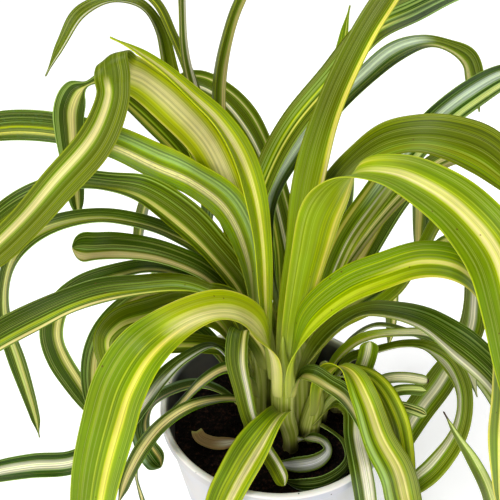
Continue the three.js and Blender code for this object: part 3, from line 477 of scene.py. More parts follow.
# Each leaf's finish in the record, its marking by the root and, where it changes, further out. A
# marking is a coat and its streaks, each from and to a percent of the width, with a tint of its
# own or the coat's. Zero is the edge on the left hand of someone who walks up the leaf.
MARKINGS = {
    "front_left": ("leaf_green", "pale 4-70", "fresh 24-42"),
    "front_right": ("leaf_green", "fresh 60-98 willow", "fresh 41-58 lemon 92-100"),
    "front_big_right": ("leaf_green", "lime 4-24", "fresh 32-56 cream"),
    "upright_right": ("leaf_green", "lime 86-100 cream", "olive 78-100 butter"),
    "inner_left": ("leaf_green", "lime 58-74 lemon", "lime 46-74 cream"),
    "left_fold": ("leaf_pale", "pale 18-74", "olive 52-78 cream"),
    "left_upper": ("leaf_green", "fresh 22-46 cream 50-92 sage", "deep 20-30 butter 34-50 lime"),
    "left_mid": ("leaf_dark", "olive 15-34 lemon", "deep 18-32 moss"),
    "left_back_dark": ("leaf_dark", "olive 14-40 butter 48-56 willow", "deep 26-58"),
    "arch_back_centre": ("leaf_dark", "olive 12-36 ivory 72-80 cream"),
    "arch_top_left": ("leaf_green", "fresh 4-36 sulphur 60-100 willow", "olive 2-26 shell"),
    "upright_left_narrow": ("leaf_green", "olive 38-60 cream 76-100 shell"),
    "upright_left_back": ("leaf_dark", "olive 14-30 willow 46-60 sulphur"),
    "upright_centre_narrow": ("leaf_dark", "olive 80-100 buff"),
    "right_up_broad": ("leaf_green", "olive 38-46 willow 54-66 butter", "dusty 60-70 sage"),
    "right_arch_back": ("leaf_green", "dusty 4-56", "olive 60-94 cream"),
    "right_far_up": ("leaf_green", "fresh 8-24 54-66 ivory 76-92 cream", "dusty 20-54 64-88 mint"),
    "right_arch_broad": ("leaf_green", "olive 66-84 khaki"),
    "tip_behind_right": ("leaf_green", "fresh 48-68 lemon"),
    "right_low_dark": ("leaf_dark", "olive 84-100 cream", "deep 76-98 shell"),
    "right_back_dark": ("leaf_dark", "olive 32-58 cream 66-100 buff"),
    "right_back_hang": ("leaf_dark", "lime 70-84 sulphur", "olive 26-68 shell"),
    "right_back_low": ("leaf_dark", "deep 12-48"),
    "left_arch_low": ("leaf_dark", "deep 22-30 khaki 42-56", "deep 30-66"),
    "left_cut_end": ("leaf_dark", "deep 4-36 buff"),
    # Its sage streak by the root is partly a pale line of the leaf and partly a painted sheen where its
    # crest faces up to the light
    "left_low_broad": ("leaf_dark", "olive 0-16 willow 38-60 sage", "deep 0-16 buff 24-42 willow"),
    "left_low_curl": ("leaf_dark", "deep 12-48"),
    "left_low_inner": ("leaf_dark", "deep 14-56 sand"),
    "left_white_low": ("leaf_pale", "deep 10-48 white", "dusty 26-72 shell"),
    "left_flat_inner": ("leaf_green", "olive 26-54 lemon"),
    "left_under_dark": ("leaf_dark", "olive 34-56"),
    "left_under_back": ("leaf_dark", "deep 12-48"),
    "left_cream_a": ("leaf_pale", "night 26-82 buff"),
    "left_cream_b": ("leaf_pale", "night 26-82 buff"),
    "left_folded_blunt": ("leaf_dark", "dusty 22-46 sand 82-98 sea"),
    "front_dark_over_rim": ("leaf_dark", "deep 12-36", "olive 12-48 shell"),
    "front_short": ("leaf_green", "fresh 18-44 cream 48-62 lime"),
    "right_arch_front": ("leaf_dark", "deep 56-98 sand", "deep 46-84 cream"),
    "front_right_hang": ("leaf_green", "lime 30-58", "olive 24-64 70-98 sage"),
    "right_second_hang": ("leaf_green", "olive 0-24 willow 38-52 willow 88-100 mint"),
    "front_right_white": ("leaf_pale", "olive 2-62 mint", "deep 0-56 shell"),
    "right_loop": ("leaf_green", "olive 42-92 shell"),
    "right_upper_loop": ("leaf_pale", "lime 44-88 cream", "deep 6-76 ivory"),
    "right_cut_stub": ("leaf_dark", "fresh 26-70 ivory"),
    "right_small_curl": ("leaf_pale", "deep 4-96 ivory"),
    "right_small_pale": ("leaf_pale", "deep 12-68 mint"),
    "right_small_striped": ("leaf_green", "dusty 8-24 mint 28-48 straw 60-92 mint"),
    "soil_curl_white": ("leaf_pale", "night 22-100 shell", "deep 8-86 white"),
    "soil_curl_dark": ("leaf_dark", "deep 34-52 khaki", "dusty 80-100"),
    "soil_scrap": ("leaf_pale", "dry", "dry 14-88"),
    "right_tip_low": ("leaf_green", "olive 44-98 mint"),
    "back_left_high": ("leaf_dark", "olive 34-56"),
    "back_centre_left": ("leaf_green", "olive 38-46 willow 54-66 butter", "dusty 60-70 sage"),
    "back_centre_right": ("leaf_dark", "deep 12-48"),
    "back_right_high": ("leaf_dark", "deep 14-56 sand"),
    "back_low_left": ("leaf_dark", "deep 12-48"),
    "back_low_right": ("leaf_green", "dusty 4-56", "olive 60-94 cream"),
}

# Percent of the width: a margin, the lighter green beside a streak, and how much of a streak
# fades out at each side
MARGIN = 4
BESIDE = 9
FADE = 0.3

# From where to where along a leaf its marking by the root gives way to the outer one
USUAL_TURN = (0.28, 0.52)
TURNS = {
    "right_up_broad": (0.62, 0.8), "left_fold": (0.38, 0.44), "left_white_low": (0.35, 0.5),
    "front_left": (0.4, 0.52), "left_upper": (0.46, 0.56), "right_arch_back": (0.6, 0.7),
    "soil_scrap": (0.4, 0.7),
}

# Painted shade: a stretch of one plain darker colour where a leaf folds over, standing in for the shade of
# the fold
FOLD_SHADES = {"left_fold": (0.4, 0.58, "moss")}

# Where a leaf's trough turns into a ridge, over the crest of a fold
CRESTS = {"left_fold": (0.4, 0.44, 0.5, 0.56)}

# Leaves with a dusty blue-green bloom, and leaves with brown specks, each with its amount
BLOOM = {"left_upper": 0.35, "right_arch_back": 0.25, "right_tip_low": 0.4}
SPECKS = {
    "front_right": 0.9, "front_left": 0.35, "front_big_right": 0.3, "left_low_broad": 0.6,
    "right_arch_broad": 0.5, "front_right_hang": 0.5, "left_upper": 0.4,
}

# Young leaves, whose veins show least, and leaves with a dry brown tip
CALM = ("front_left", "front_right", "front_big_right", "upright_right", "inner_left", "left_fold")
BROWN_TIPS = ("left_white_low", "left_cream_a", "right_small_curl", "left_flat_inner", "right_tip_low")


# The stage's lights as (name, kind, place, power, size), a sun's size being its angle in degrees
LAMPS = (
    ("sun", "SUN", (-0.5, -0.45, 1.2), 2.15, 26),
    ("softbox", "AREA", (0.2, 0.7, 1.5), 9, 1.0),
    ("front fill", "AREA", (-0.15, -0.9, 0.45), 3.6, 0.5),
)
SKY = 0.25

# The camera's place in metres, its tilt from straight down, and its lens and sensor in millimetres
CAMERA_PLACE = (-0.0145, -0.2438, 0.3605)
CAMERA_TILT = 58
LENS = 43.2
SENSOR = 36


def linear(code):
    """An sRGB hex colour as Blender's linear RGBA."""
    channels = [int(code[i:i + 2], 16) / 255 for i in (0, 2, 4)]
    return [c / 12.92 if c <= 0.04045 else ((c + 0.055) / 1.055) ** 2.4 for c in channels] + [1]


def start():
    """Object mode with nothing selected, ready for a new piece."""
    if bpy.context.mode != "OBJECT":
        bpy.ops.object.mode_set(mode="OBJECT")
    bpy.ops.object.select_all(action="DESELECT")


def apply_modifier(obj, kind, **settings):
    modifier = obj.modifiers.new(kind.title(), kind)
    for key, value in settings.items():
        setattr(modifier, key, value)
    bpy.context.view_layer.objects.active = obj
    bpy.ops.object.modifier_apply(modifier=modifier.name)


def settle(obj, name, node, material):
    """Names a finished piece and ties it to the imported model."""
    obj.name = name
    obj.data.name = name
    obj.data.materials.clear()
    obj.data.materials.append(material)
    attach(obj, "root")
    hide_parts(node)
    return obj


def mesh_points(obj):
    points = np.empty(len(obj.data.vertices) * 3)
    obj.data.vertices.foreach_get("co", points)
    return points.reshape(-1, 3)


def set_points(obj, points):
    obj.data.vertices.foreach_set("co", np.asarray(points, float).ravel())
    obj.data.update()


def close_seams(reach):
    """Merges the seams and poles of a rolled grid and turns its faces outwards."""
    bpy.ops.object.mode_set(mode="EDIT")
    bpy.ops.mesh.select_all(action="SELECT")
    bpy.ops.mesh.remove_doubles(threshold=reach * MM)
    bpy.ops.mesh.normals_make_consistent(inside=False)
    bpy.ops.object.mode_set(mode="OBJECT")


# Materials


def new_material(name):
    material = bpy.data.materials.new(name)
    material.use_nodes = True
    return material, material.node_tree, material.node_tree.nodes["Principled BSDF"]


def add(tree, kind, inputs=None, **settings):
    """A node of this kind. An input is a socket to link from or a constant."""
    node = tree.nodes.new(kind)
    for key, value in settings.items():
        setattr(node, key, value)
    for key, value in (inputs or {}).items():
        if isinstance(value, bpy.types.NodeSocket):
            tree.links.new(value, node.inputs[key])
        else:
            node.inputs[key].default_value = value
    return node


def mix(tree, share, colour, other):
    return add(tree, "ShaderNodeMix", {0: share, MIX_A: colour, MIX_B: other},
               data_type="RGBA").outputs[MIX_RESULT]


def spread(tree, value, low, high, out_low, out_high):
    """A smooth step from out_low to out_high while value goes from low to high."""
    return add(tree, "ShaderNodeMapRange",
               {"Value": value, "From Min": low, "From Max": high, "To Min": out_low, "To Max": out_high},
               interpolation_type="SMOOTHSTEP").outputs["Result"]


def step_at(tree, measure, place, out_low, out_high):
    """A smooth step over a stretch given in millimetres."""
    return spread(tree, measure, place[0] * MM, place[1] * MM, out_low, out_high)


def noise_on(tree, strip, scale, detail):
    """Noise over a blade or stem, finer across it than along it."""
    stretched = add(tree, "ShaderNodeMapping", {"Vector": strip, "Scale": scale}).outputs[0]
    return add(tree, "ShaderNodeTexNoise", {
        "Vector": stretched, "Scale": 1, "Detail": detail}).outputs["Fac"]


def fill_ramp(node, stripes):
    """Sets a colour ramp from text of percent and colour name in turn."""
    words = stripes.split()
    stops = [(float(words[i]) / 100, PALETTE[words[i + 1]]) for i in range(0, len(words), 2)]
    elements = node.color_ramp.elements
    elements[0].position, elements[0].color = stops[0][0], linear(stops[0][1])
    elements[1].position, elements[1].color = stops[-1][0], linear(stops[-1][1])
    for place, colour in stops[1:-1]:
        elements.new(place).color = linear(colour)
    return node.outputs["Color"]


def stripes_of(marking):
    """A marking as text of percent and colour name in turn, from edge to edge of the blade."""
    coat, *words = marking.split()
    margin, flank, inner, usual = COATS[coat]
    streaks = []
    for word in words:
        if "-" in word:
            streaks.append([float(edge) for edge in word.split("-")] + [usual])
        else:
            streaks[-1][2] = word
    stops = [(0, margin), (MARGIN, flank)]
    for begin, end, tint in streaks:
        fade = FADE * (end - begin)
        stops += [(begin - BESIDE, flank), (begin, inner), (begin + fade, tint),
                  (end - fade, tint), (end, inner), (end + BESIDE, flank)]
    stops += [(100 - MARGIN, flank), (100, margin)]
    places = np.clip(np.maximum.accumulate([place for place, _ in stops]), 0, 100)
    return " ".join(f"{place:g} {colour}" for place, (_, colour) in zip(places, stops))


def leaf_material(name, number):
    """Waxy living leaf: soft sheen over fine lengthwise veins, light glowing through the blade,
    a paler and duller underside."""
    _, *markings = MARKINGS[name]
    material, tree, shader = new_material("leaf " + name.replace("_", " "))
    place = add(tree, "ShaderNodeTexCoord")
    solid = place.outputs["Object"]
    across = add(tree, "ShaderNodeSeparateXYZ", {"Vector": place.outputs["UV"]})
    along = across.outputs["Y"]
    under = add(tree, "ShaderNodeMath", {0: across.outputs["X"], 1: UNDERSIDE - 0.5},
                operation="GREATER_THAN").outputs[0]
    side = add(tree, "ShaderNodeMath", {0: under, 1: -float(UNDERSIDE), 2: across.outputs["X"]},
               operation="MULTIPLY_ADD").outputs[0]
    strip = add(tree, "ShaderNodeCombineXYZ", {"X": side, "Y": along, "Z": number * 1.7}).outputs[0]

    # The stripes wander a little and fray where a vein drops its green
    wander = noise_on(tree, strip, (2.5, 5, 1), 2)
    fray = noise_on(tree, strip, (34, 2.2, 1), 3)
    moved = add(tree, "ShaderNodeMath", {0: wander, 1: 0.07, 2: side}, operation="MULTIPLY_ADD").outputs[0]
    moved = add(tree, "ShaderNodeMath", {0: fray, 1: 0.03, 2: moved}, operation="MULTIPLY_ADD").outputs[0]
    moved = add(tree, "ShaderNodeMath", {0: moved, 1: 0.05}, operation="SUBTRACT").outputs[0]
    colour, *further = [
        fill_ramp(add(tree, "ShaderNodeValToRGB", {"Fac": moved}), stripes_of(marking))
        for marking in markings
    ]
    for outer in further:
        first, last = TURNS.get(name, USUAL_TURN)
        colour = mix(tree, spread(tree, along, first, last, 0, 1), colour, outer)
    # Painted shade over the fold: one plain darker colour covers the stripes there
    if name in FOLD_SHADES:
        begin, end, fold_shade = FOLD_SHADES[name]
        rises = spread(tree, along, begin, begin + 0.04, 0, 1)
        falls = spread(tree, along, end - 0.06, end, 1, 0)
        in_fold_shade = add(tree, "ShaderNodeMath", {0: rises, 1: falls}, operation="MULTIPLY").outputs[0]
        colour = mix(tree, in_fold_shade, colour, linear(PALETTE[fold_shade]))

    # Pinstripes: thin pale and dark lines in the green, as variegated leaves have them
    pins = noise_on(tree, strip, (15, 0.45, 1), 2)
    pale, dark, *_ = COATS[markings[-1].split()[0]]
    colour = mix(tree, spread(tree, pins, 0.56, 0.64, 0, 0.5), colour, linear(PALETTE[pale]))
    colour = mix(tree, spread(tree, pins, 0.44, 0.38, 0, 0.4), colour, linear(PALETTE[dark]))

    # Veins: fine lighter and darker lines the length of the blade
    veins = noise_on(tree, strip, (26, 0.9, 1), 3)
    hairs = noise_on(tree, strip, (48, 0.7, 1), 1)
    darkest, lightest = (0.82, 1.1) if name in CALM else (0.64, 1.18)
    shade = spread(tree, veins, 0.34, 0.64, darkest, lightest)
    patches = add(tree, "ShaderNodeTexNoise", {
        "Vector": solid, "Scale": 1 / (TONE_PATCHES * MM), "Detail": 3}).outputs["Fac"]
    tone = spread(tree, patches, 0.3, 0.7, 0.88, 1.05)
    value = add(tree, "ShaderNodeMath", {0: shade, 1: tone}, operation="MULTIPLY").outputs[0]
    hue = spread(tree, patches, 0.3, 0.7, 0.486, 0.499)
    colour = add(tree, "ShaderNodeHueSaturation",
                 {"Hue": hue, "Saturation": 1.24, "Value": value, "Color": colour}).outputs["Color"]
    colour = mix(tree, spread(tree, hairs, 0.56, 0.62, 0, 0.22), colour, linear(PALETTE["sulphur"]))

    # The base fades to pale yellow green where it clasps the stem
    colour = mix(tree, spread(tree, along, 0.0, 0.12, 0.7, 0), colour, linear(PALETTE["sulphur"]))

    if name in BLOOM:
        scurf = noise_on(tree, strip, (50, 90, 1), 4)
        colour = mix(tree, spread(tree, scurf, 0.5, 0.7, 0, BLOOM[name]), colour, linear(PALETTE["jade"]))
    if name in SPECKS:
        dots = add(tree, "ShaderNodeTexVoronoi", {"Vector": solid, "Scale": 1 / (SPECK_SPACING * MM)})
        near_dot = spread(tree, dots.outputs["Distance"], 0.06, 0.13, 0.8, 0)
        some = add(tree, "ShaderNodeSeparateColor", {"Color": dots.outputs["Color"]}).outputs[0]
        chosen = add(tree, "ShaderNodeMath", {0: some, 1: 1 - 0.5 * SPECKS[name]},
                     operation="GREATER_THAN").outputs[0]
        mark = add(tree, "ShaderNodeMath", {0: near_dot, 1: chosen}, operation="MULTIPLY").outputs[0]
        colour = mix(tree, mark, colour, linear(PALETTE["speck"]))
    if name in BROWN_TIPS:
        colour = mix(tree, spread(tree, along, 0.965, 0.985, 0, 1), colour, linear(PALETTE["bark"]))

    # The underside is paler, bluer and duller
    colour = mix(tree, spread(tree, under, 0, 1, 0, 0.08), colour, linear(PALETTE["sage"]))
    bump = add(tree, "ShaderNodeBump", {"Height": veins, "Strength": 0.35, "Distance": VEIN_DEPTH * MM})
    tree.links.new(colour, shader.inputs["Base Color"])
    tree.links.new(spread(tree, under, 0, 1, 0.38, 0.55), shader.inputs["Roughness"])
    tree.links.new(bump.outputs["Normal"], shader.inputs["Normal"])
    shader.inputs["Subsurface Weight"].default_value = 0.3
    shader.inputs["Subsurface Radius"].default_value = (0.8, 1.0, 0.15)
    shader.inputs["Subsurface Scale"].default_value = 2.2 * MM
    shader.inputs["Specular IOR Level"].default_value = 0.1
    return material


# Leaf geometry


def curve_through(rows, shares, centripetal):
    """Points at these shares of a curve through every row, in equal parts from row to row."""
    rows = np.asarray(rows, float)
    place = shares * (len(rows) - 1)
    knot = np.minimum(place.astype(int), len(rows) - 2)
    w = (place - knot)[:, None]
    longer = np.vstack([2 * rows[0] - rows[1], rows, 2 * rows[-1] - rows[-2]])
    before, start_row, end_row, after = (longer[knot + i] for i in range(4))
    power = 0.5 if centripetal else 0
    gaps = [
        np.maximum(np.linalg.norm(b - a, axis=1), 1e-4)[:, None] ** power
        for a, b in ((before, start_row), (start_row, end_row), (end_row, after))
    ]
    leave = (start_row - before) / gaps[0] - (end_row - before) / (gaps[0] + gaps[1])
    leave = (leave + (end_row - start_row) / gaps[1]) * gaps[1]
    arrive = (end_row - start_row) / gaps[1] - (after - start_row) / (gaps[1] + gaps[2])
    arrive = (arrive + (after - end_row) / gaps[2]) * gaps[1]
    step = end_row - start_row
    return start_row + leave * w + (3 * step - 2 * leave - arrive) * w**2 \
        + (leave + arrive - 2 * step) * w**3


def unit(rows):
    return rows / np.linalg.norm(rows, axis=-1, keepdims=True)


def carried_frames(points):
    """The way ahead and the upper side at each point, carried without turning about the way."""
    ways = unit(np.gradient(points, axis=0))
    heading = points[-1] - points[0]
    heading[2] = 0
    heading = unit(heading)
    up = np.array([0, 0, 1]) * (ways[0] @ heading) - heading * ways[0][2]
    uppers = [unit(up - ways[0] * (up @ ways[0]))]
    for i in range(len(points) - 1):
        chord = points[i + 1] - points[i]
        reach = chord @ chord
        upper = uppers[-1] - 2 * (chord @ uppers[-1]) / reach * chord
        way = ways[i] - 2 * (chord @ ways[i]) / reach * chord
        bend = ways[i + 1] - way
        if bend @ bend > 1e-12:
            upper = upper - 2 * (bend @ upper) / (bend @ bend) * bend
        uppers.append(upper)
    return ways, np.array(uppers)


def blade_points(name, rows_count):
    """Rows of points across a blade, from root to tip, in millimetres."""
    fold, knots = LEAVES[name]
    knots = np.asarray(knots, float)
    shares = np.linspace(0, 1, rows_count)
    path = curve_through(knots[:, :3], shares, True)
    width, twist = curve_through(knots[:, 3:], shares, False).T
    ways, carried = carried_frames(path)
    turn = np.radians(twist)[:, None]
    upper = carried * np.cos(turn) + np.cross(ways, carried) * np.sin(turn)
    across = np.cross(ways, upper)

    run = np.concatenate([[0], np.cumsum(np.linalg.norm(np.diff(path, axis=0), axis=1))])
    left = run[-1] - run
    end_width = knots[-1, 3]
    if end_width < POINTED_BELOW:
        width = width * np.clip(left / POINT_LENGTH, 0, 1) ** 0.7
    else:
        width = width * np.sqrt(np.clip(1 - (1 - np.clip(2 * left / end_width, 0, 1)) ** 2, 0, 1))
    half = np.maximum(width, TIP_WIDTH) / 2

    opened = DEEP_FOLD if fold == "deep" else BLADE_FOLD
    closed = np.clip(1 - shares / FOLD_OPENS, 0, 1) ** 2
    tilt = np.radians(opened + (max(ROOT_FOLD, opened) - opened) * closed)
    rise = half * np.tan(tilt)
    if name in CRESTS:
        rise = rise * np.interp(shares, CRESTS[name], (1, -1, -1, 1))

    side = np.linspace(-1, 1, ACROSS_CELLS + 1)
    vee = np.sqrt(side**2 + MIDRIB_ROUND**2) - MIDRIB_ROUND
    vee = vee / vee[-1]
    wave = random.Random(name)
    phase = [wave.uniform(0, 2 * math.pi) for _ in range(4)]
    ripple = RIPPLE * (
        np.outer(np.sin(run / 9 + phase[0]) + np.sin(run / 23 + phase[1]), np.clip(side, 0, 1) ** 2)
        + np.outer(np.sin(run / 11 + phase[2]) + np.sin(run / 19 + phase[3]), np.clip(-side, 0, 1) ** 2)
    ) * np.clip(half / 8, 0, 1)[:, None]
    depth = rise[:, None] * (1 - vee) - ripple
    sideways = across[:, None] * (half[:, None] * side)[..., None]
    return path[:, None] + sideways - upper[:, None] * depth[..., None]


def leaf(name, number):
    _, knots = LEAVES[name]
    length = sum(math.dist(a[:3], b[:3]) for a, b in zip(knots, knots[1:]))
    cells = round(length / BLADE_STEP)
    start()
    bpy.ops.mesh.primitive_grid_add(x_subdivisions=ACROSS_CELLS, y_subdivisions=cells, size=2)
    blade = bpy.context.object
    points = blade_points(name, cells + 1)
    flat = mesh_points(blade)
    column = np.rint((flat[:, 0] + 1) / 2 * ACROSS_CELLS).astype(int)
    row = np.rint((flat[:, 1] + 1) / 2 * cells).astype(int)
    set_points(blade, points[row, column] * MM)
    apply_modifier(blade, "SOLIDIFY", thickness=BLADE_THICKNESS * MM, offset=0, material_offset=1,
                   use_even_offset=True)
    apply_modifier(blade, "SUBSURF", levels=1, render_levels=1)
    layer = blade.data.uv_layers.active.data
    for face in blade.data.polygons:
        if face.material_index == 1:
            for corner in face.loop_indices:
                layer[corner].uv[0] += UNDERSIDE
        face.material_index = 0
    bpy.ops.object.shade_smooth()
    settle(blade, "blade_" + name, "leaf_" + name, leaf_material(name, number))


# Stems


def stem_material():
    """Juicy leaf bases pressed together: pale yellow green, faintly ribbed, browner at the soil."""
    material, tree, shader = new_material("stem")
    place = add(tree, "ShaderNodeTexCoord")
    ribs = noise_on(tree, place.outputs["UV"], (26, 1.2, 1), 3)
    colour = fill_ramp(add(tree, "ShaderNodeValToRGB", {"Fac": ribs}),
                       "26 lime 42 lime 54 sulphur 70 lemon 84 butter")
    height = add(tree, "ShaderNodeSeparateXYZ", {"Vector": place.outputs["Object"]}).outputs["Z"]
    foot = step_at(tree, height, BROWN_FOOT, 0.8, 0)
    colour = mix(tree, foot, colour, linear(PALETTE["bark"]))
    top = step_at(tree, height, GREENER_TOP, 0, 0.8)
    colour = mix(tree, top, colour, linear(PALETTE["lime"]))
    bump = add(tree, "ShaderNodeBump", {"Height": ribs, "Strength": 0.3, "Distance": VEIN_DEPTH * MM})
    tree.links.new(colour, shader.inputs["Base Color"])
    tree.links.new(bump.outputs["Normal"], shader.inputs["Normal"])
    shader.inputs["Roughness"].default_value = 0.42
    shader.inputs["Subsurface Weight"].default_value = 0.3
    shader.inputs["Subsurface Radius"].default_value = (0.8, 1.0, 0.3)
    shader.inputs["Subsurface Scale"].default_value = 2.5 * MM
    return material


def neck(rows, turn):
    """One ribbed stem: a grid rolled up and pulled into the rows' shape."""
    start()
    bpy.ops.mesh.primitive_grid_add(x_subdivisions=NECK_SIDES, y_subdivisions=NECK_LEVELS, size=2)
    stem = bpy.context.object
    flat = (mesh_points(stem) + 1) / 2
    lined = curve_through(rows, np.linspace(0, 1, NECK_LEVELS + 1), True)
    at = np.rint(flat[:, 1] * NECK_LEVELS).astype(int)
    angle = 2 * math.pi * flat[:, 0]
    sheath = 1 + 0.05 * np.sin(2 * angle + turn + 5 * flat[:, 1]) + 0.012 * np.sin(9 * angle + turn)
    reach = lined[at, 3] * sheath * np.clip((1 - flat[:, 1]) / 0.04, 0, 1) ** 0.5
    points = np.stack([lined[at, 0] + reach * np.cos(angle), lined[at, 1] + reach * np.sin(angle),
                       lined[at, 2]], axis=1)
    set_points(stem, points * MM)
    close_seams(2 * SEAM)
    return stem


def join(parts):
    start()
    for part in parts:
        part.select_set(True)
    bpy.context.view_layer.objects.active = parts[0]
    if len(parts) > 1:
        bpy.ops.object.join()
    return bpy.context.object


def stems():
    clump = join([neck(rows, 1.3 * number) for number, rows in enumerate(NECKS)])
    bpy.ops.object.shade_smooth()
    settle(clump, "stem_clump", "crown_clump", stem_material())


# Pot


def wall_radius(height):
    return BASE_RADIUS + (RIM_RADIUS - LIP_STEP - BASE_RADIUS) * height / POT_HEIGHT


def rounded(corner, before, after, radius, parts=5):
    """Points of a rounded corner of the pot's outline."""
    corner, before, after = (Vector(p) for p in (corner, before, after))
    first = corner + (before - corner).normalized() * radius
    last = corner + (after - corner).normalized() * radius
    return [
        tuple(first.lerp(corner, t).lerp(corner.lerp(last, t), t))
        for t in (i / parts for i in range(parts + 1))
    ]


def pot_material():
    """Injection-moulded polypropylene: bluish white greyed by painted shade, a rim top painted lighter as
    painted light, the inside painted dark as painted shade, soft sheen, light soaking a little way in.
    """
    material, tree, shader = new_material("pot plastic")
    place = add(tree, "ShaderNodeTexCoord")
    cloud = add(tree, "ShaderNodeTexNoise", {
        "Vector": place.outputs["Object"], "Scale": 1 / (PLASTIC_CLOUDS * MM), "Detail": 3}).outputs["Fac"]
    colour = fill_ramp(add(tree, "ShaderNodeValToRGB", {"Fac": cloud}), "35 pot 65 potwarm")
    dirt = add(tree, "ShaderNodeTexVoronoi", {
        "Vector": place.outputs["Object"], "Scale": 1 / (SPATTER_SPACING * MM)})
    spot = add(tree, "ShaderNodeMapRange", {
        "Value": dirt.outputs["Distance"], "From Min": 0.05, "From Max": 0.1, "To Min": 1,
        "To Max": 0}).outputs["Result"]
    some = add(tree, "ShaderNodeSeparateColor", {"Color": dirt.outputs["Color"]}).outputs[0]
    some = add(tree, "ShaderNodeMath", {0: some, 1: 0.62}, operation="GREATER_THAN").outputs[0]
    height = add(tree, "ShaderNodeSeparateXYZ", {"Vector": place.outputs["Object"]}).outputs["Z"]
    high = add(tree, "ShaderNodeMapRange", {
        "Value": height, "From Min": SPATTER_FROM[0] * MM,
        "From Max": SPATTER_FROM[1] * MM}).outputs["Result"]
    spot = add(tree, "ShaderNodeMath", {0: spot, 1: some}, operation="MULTIPLY").outputs[0]
    spot = add(tree, "ShaderNodeMath", {0: spot, 1: high}, operation="MULTIPLY").outputs[0]
    # Painted light: the rim's top is a lighter colour than the wall, which is greyed as painted shade
    colour = mix(tree, step_at(tree, height, LIT_RIM_TOP, 0, 1), colour, linear(PALETTE["pot_lit_rim"]))
    colour = mix(tree, spot, colour, linear(PALETTE["humus"]))

    # Painted shade: inside, the wall is darkened patchily to near-black nearly to the rim, where shade
    # falls in the pot
    level = add(tree, "ShaderNodeMapping", {
        "Vector": place.outputs["Object"], "Scale": (1, 1, 0)}).outputs[0]
    reach = add(tree, "ShaderNodeVectorMath", {0: level}, operation="LENGTH").outputs["Value"]
    lean = (wall_radius(POT_HEIGHT) - BASE_RADIUS) / POT_HEIGHT
    depth = add(tree, "ShaderNodeMath", {0: height, 1: lean, 2: BASE_RADIUS * MM},
                operation="MULTIPLY_ADD").outputs[0]
    depth = add(tree, "ShaderNodeMath", {0: depth, 1: reach}, operation="SUBTRACT").outputs[0]
    inside = step_at(tree, depth, INNER_WALL, 0, 1)
    below = step_at(tree, height, INNER_SHADE_TO, 1, 0)
    inner_shade = add(tree, "ShaderNodeMath", {0: inside, 1: below}, operation="MULTIPLY").outputs[0]
    patchy = spread(tree, cloud, 0.3, 0.6, 0.95, 0.75)
    inner_shade = add(tree, "ShaderNodeMath", {0: inner_shade, 1: patchy}, operation="MULTIPLY").outputs[0]
    colour = mix(tree, inner_shade, colour, linear(PALETTE["humus"]))
    tree.links.new(colour, shader.inputs["Base Color"])
    shader.inputs["Roughness"].default_value = 0.34
    shader.inputs["Subsurface Weight"].default_value = 0.12
    shader.inputs["Subsurface Scale"].default_value = 1.5 * MM
    return material


def pot():
    lip_foot = POT_HEIGHT - LIP_HEIGHT
    inside = RIM_RADIUS - LIP_WIDTH
    corners = [
        ((0, 0), 0), ((BASE_RADIUS, 0), EDGE_ROUND), ((wall_radius(lip_foot), lip_foot), 0.3),
        ((RIM_RADIUS, lip_foot + LIP_STEP), 0.5), ((RIM_RADIUS, POT_HEIGHT), EDGE_ROUND * 1.5),
        ((inside, POT_HEIGHT), EDGE_ROUND * 1.5), ((wall_radius(lip_foot) - WALL, lip_foot), 1),
        ((wall_radius(FLOOR) - WALL, FLOOR), 2), ((0, FLOOR), 0),
    ]
    outline = [corners[0][0]]
    for (point, radius), (before, _), (after, _) in zip(corners[1:-1], corners, corners[2:]):
        outline += rounded(point, before, after, radius)
    outline.append(corners[-1][0])
    start()
    bpy.ops.mesh.primitive_grid_add(x_subdivisions=len(outline) - 1, y_subdivisions=POT_TURNS, size=2)
    vessel = bpy.context.object
    flat = (mesh_points(vessel) + 1) / 2
    at = np.rint(flat[:, 0] * (len(outline) - 1)).astype(int)
    angle = 2 * math.pi * flat[:, 1]
    radius, height = np.array(outline)[at].T
    set_points(vessel, np.stack([radius * np.cos(angle), radius * np.sin(angle), height], axis=1) * MM)
    close_seams(SEAM)
    drills = []
    for hole in range(DRAIN_HOLES):
        angle = 2 * math.pi * hole / DRAIN_HOLES
        start()
        bpy.ops.mesh.primitive_cylinder_add(
            vertices=24, radius=DRAIN_RADIUS * MM, depth=10 * MM,
            location=(DRAIN_RING * math.cos(angle) * MM, DRAIN_RING * math.sin(angle) * MM, 0))
        drills.append(bpy.context.object)
    drill = join(drills)
    apply_modifier(vessel, "BOOLEAN", object=drill, operation="DIFFERENCE", solver="EXACT")
    bpy.data.objects.remove(drill)
    start()
    vessel.select_set(True)
    bpy.context.view_layer.objects.active = vessel
    bpy.ops.object.shade_smooth_by_angle(angle=math.radians(35))
    settle(vessel, "plastic_pot", "pot", pot_material())


# Soil


def soil_material():
    """Damp potting soil: near-black peat and bark with reddish bits, dull all over."""
    material, tree, shader = new_material("soil")
    place = add(tree, "ShaderNodeTexCoord")
    grains = add(tree, "ShaderNodeTexNoise", {
        "Vector": place.outputs["Object"], "Scale": 1 / (SOIL_GRAINS * MM), "Detail": 6,
        "Roughness": 0.7}).outputs["Fac"]
    colour = fill_ramp(add(tree, "ShaderNodeValToRGB", {"Fac": grains}), "34 peat 52 humus 64 bark 78 rust")
    bump = add(tree, "ShaderNodeBump", {"Height": grains, "Strength": 0.8, "Distance": 1 * MM})
    tree.links.new(colour, shader.inputs["Base Color"])
    tree.links.new(bump.outputs["Normal"], shader.inputs["Normal"])
    shader.inputs["Roughness"].default_value = 0.85
    shader.inputs["Specular IOR Level"].default_value = 0.1
    return material


def scatter_on_soil(dice):
    reach = (wall_radius(SOIL_TOP) - WALL - 2.5) * math.sqrt(dice.random())
    angle = dice.uniform(0, 2 * math.pi)
    return reach * math.cos(angle), reach * math.sin(angle)


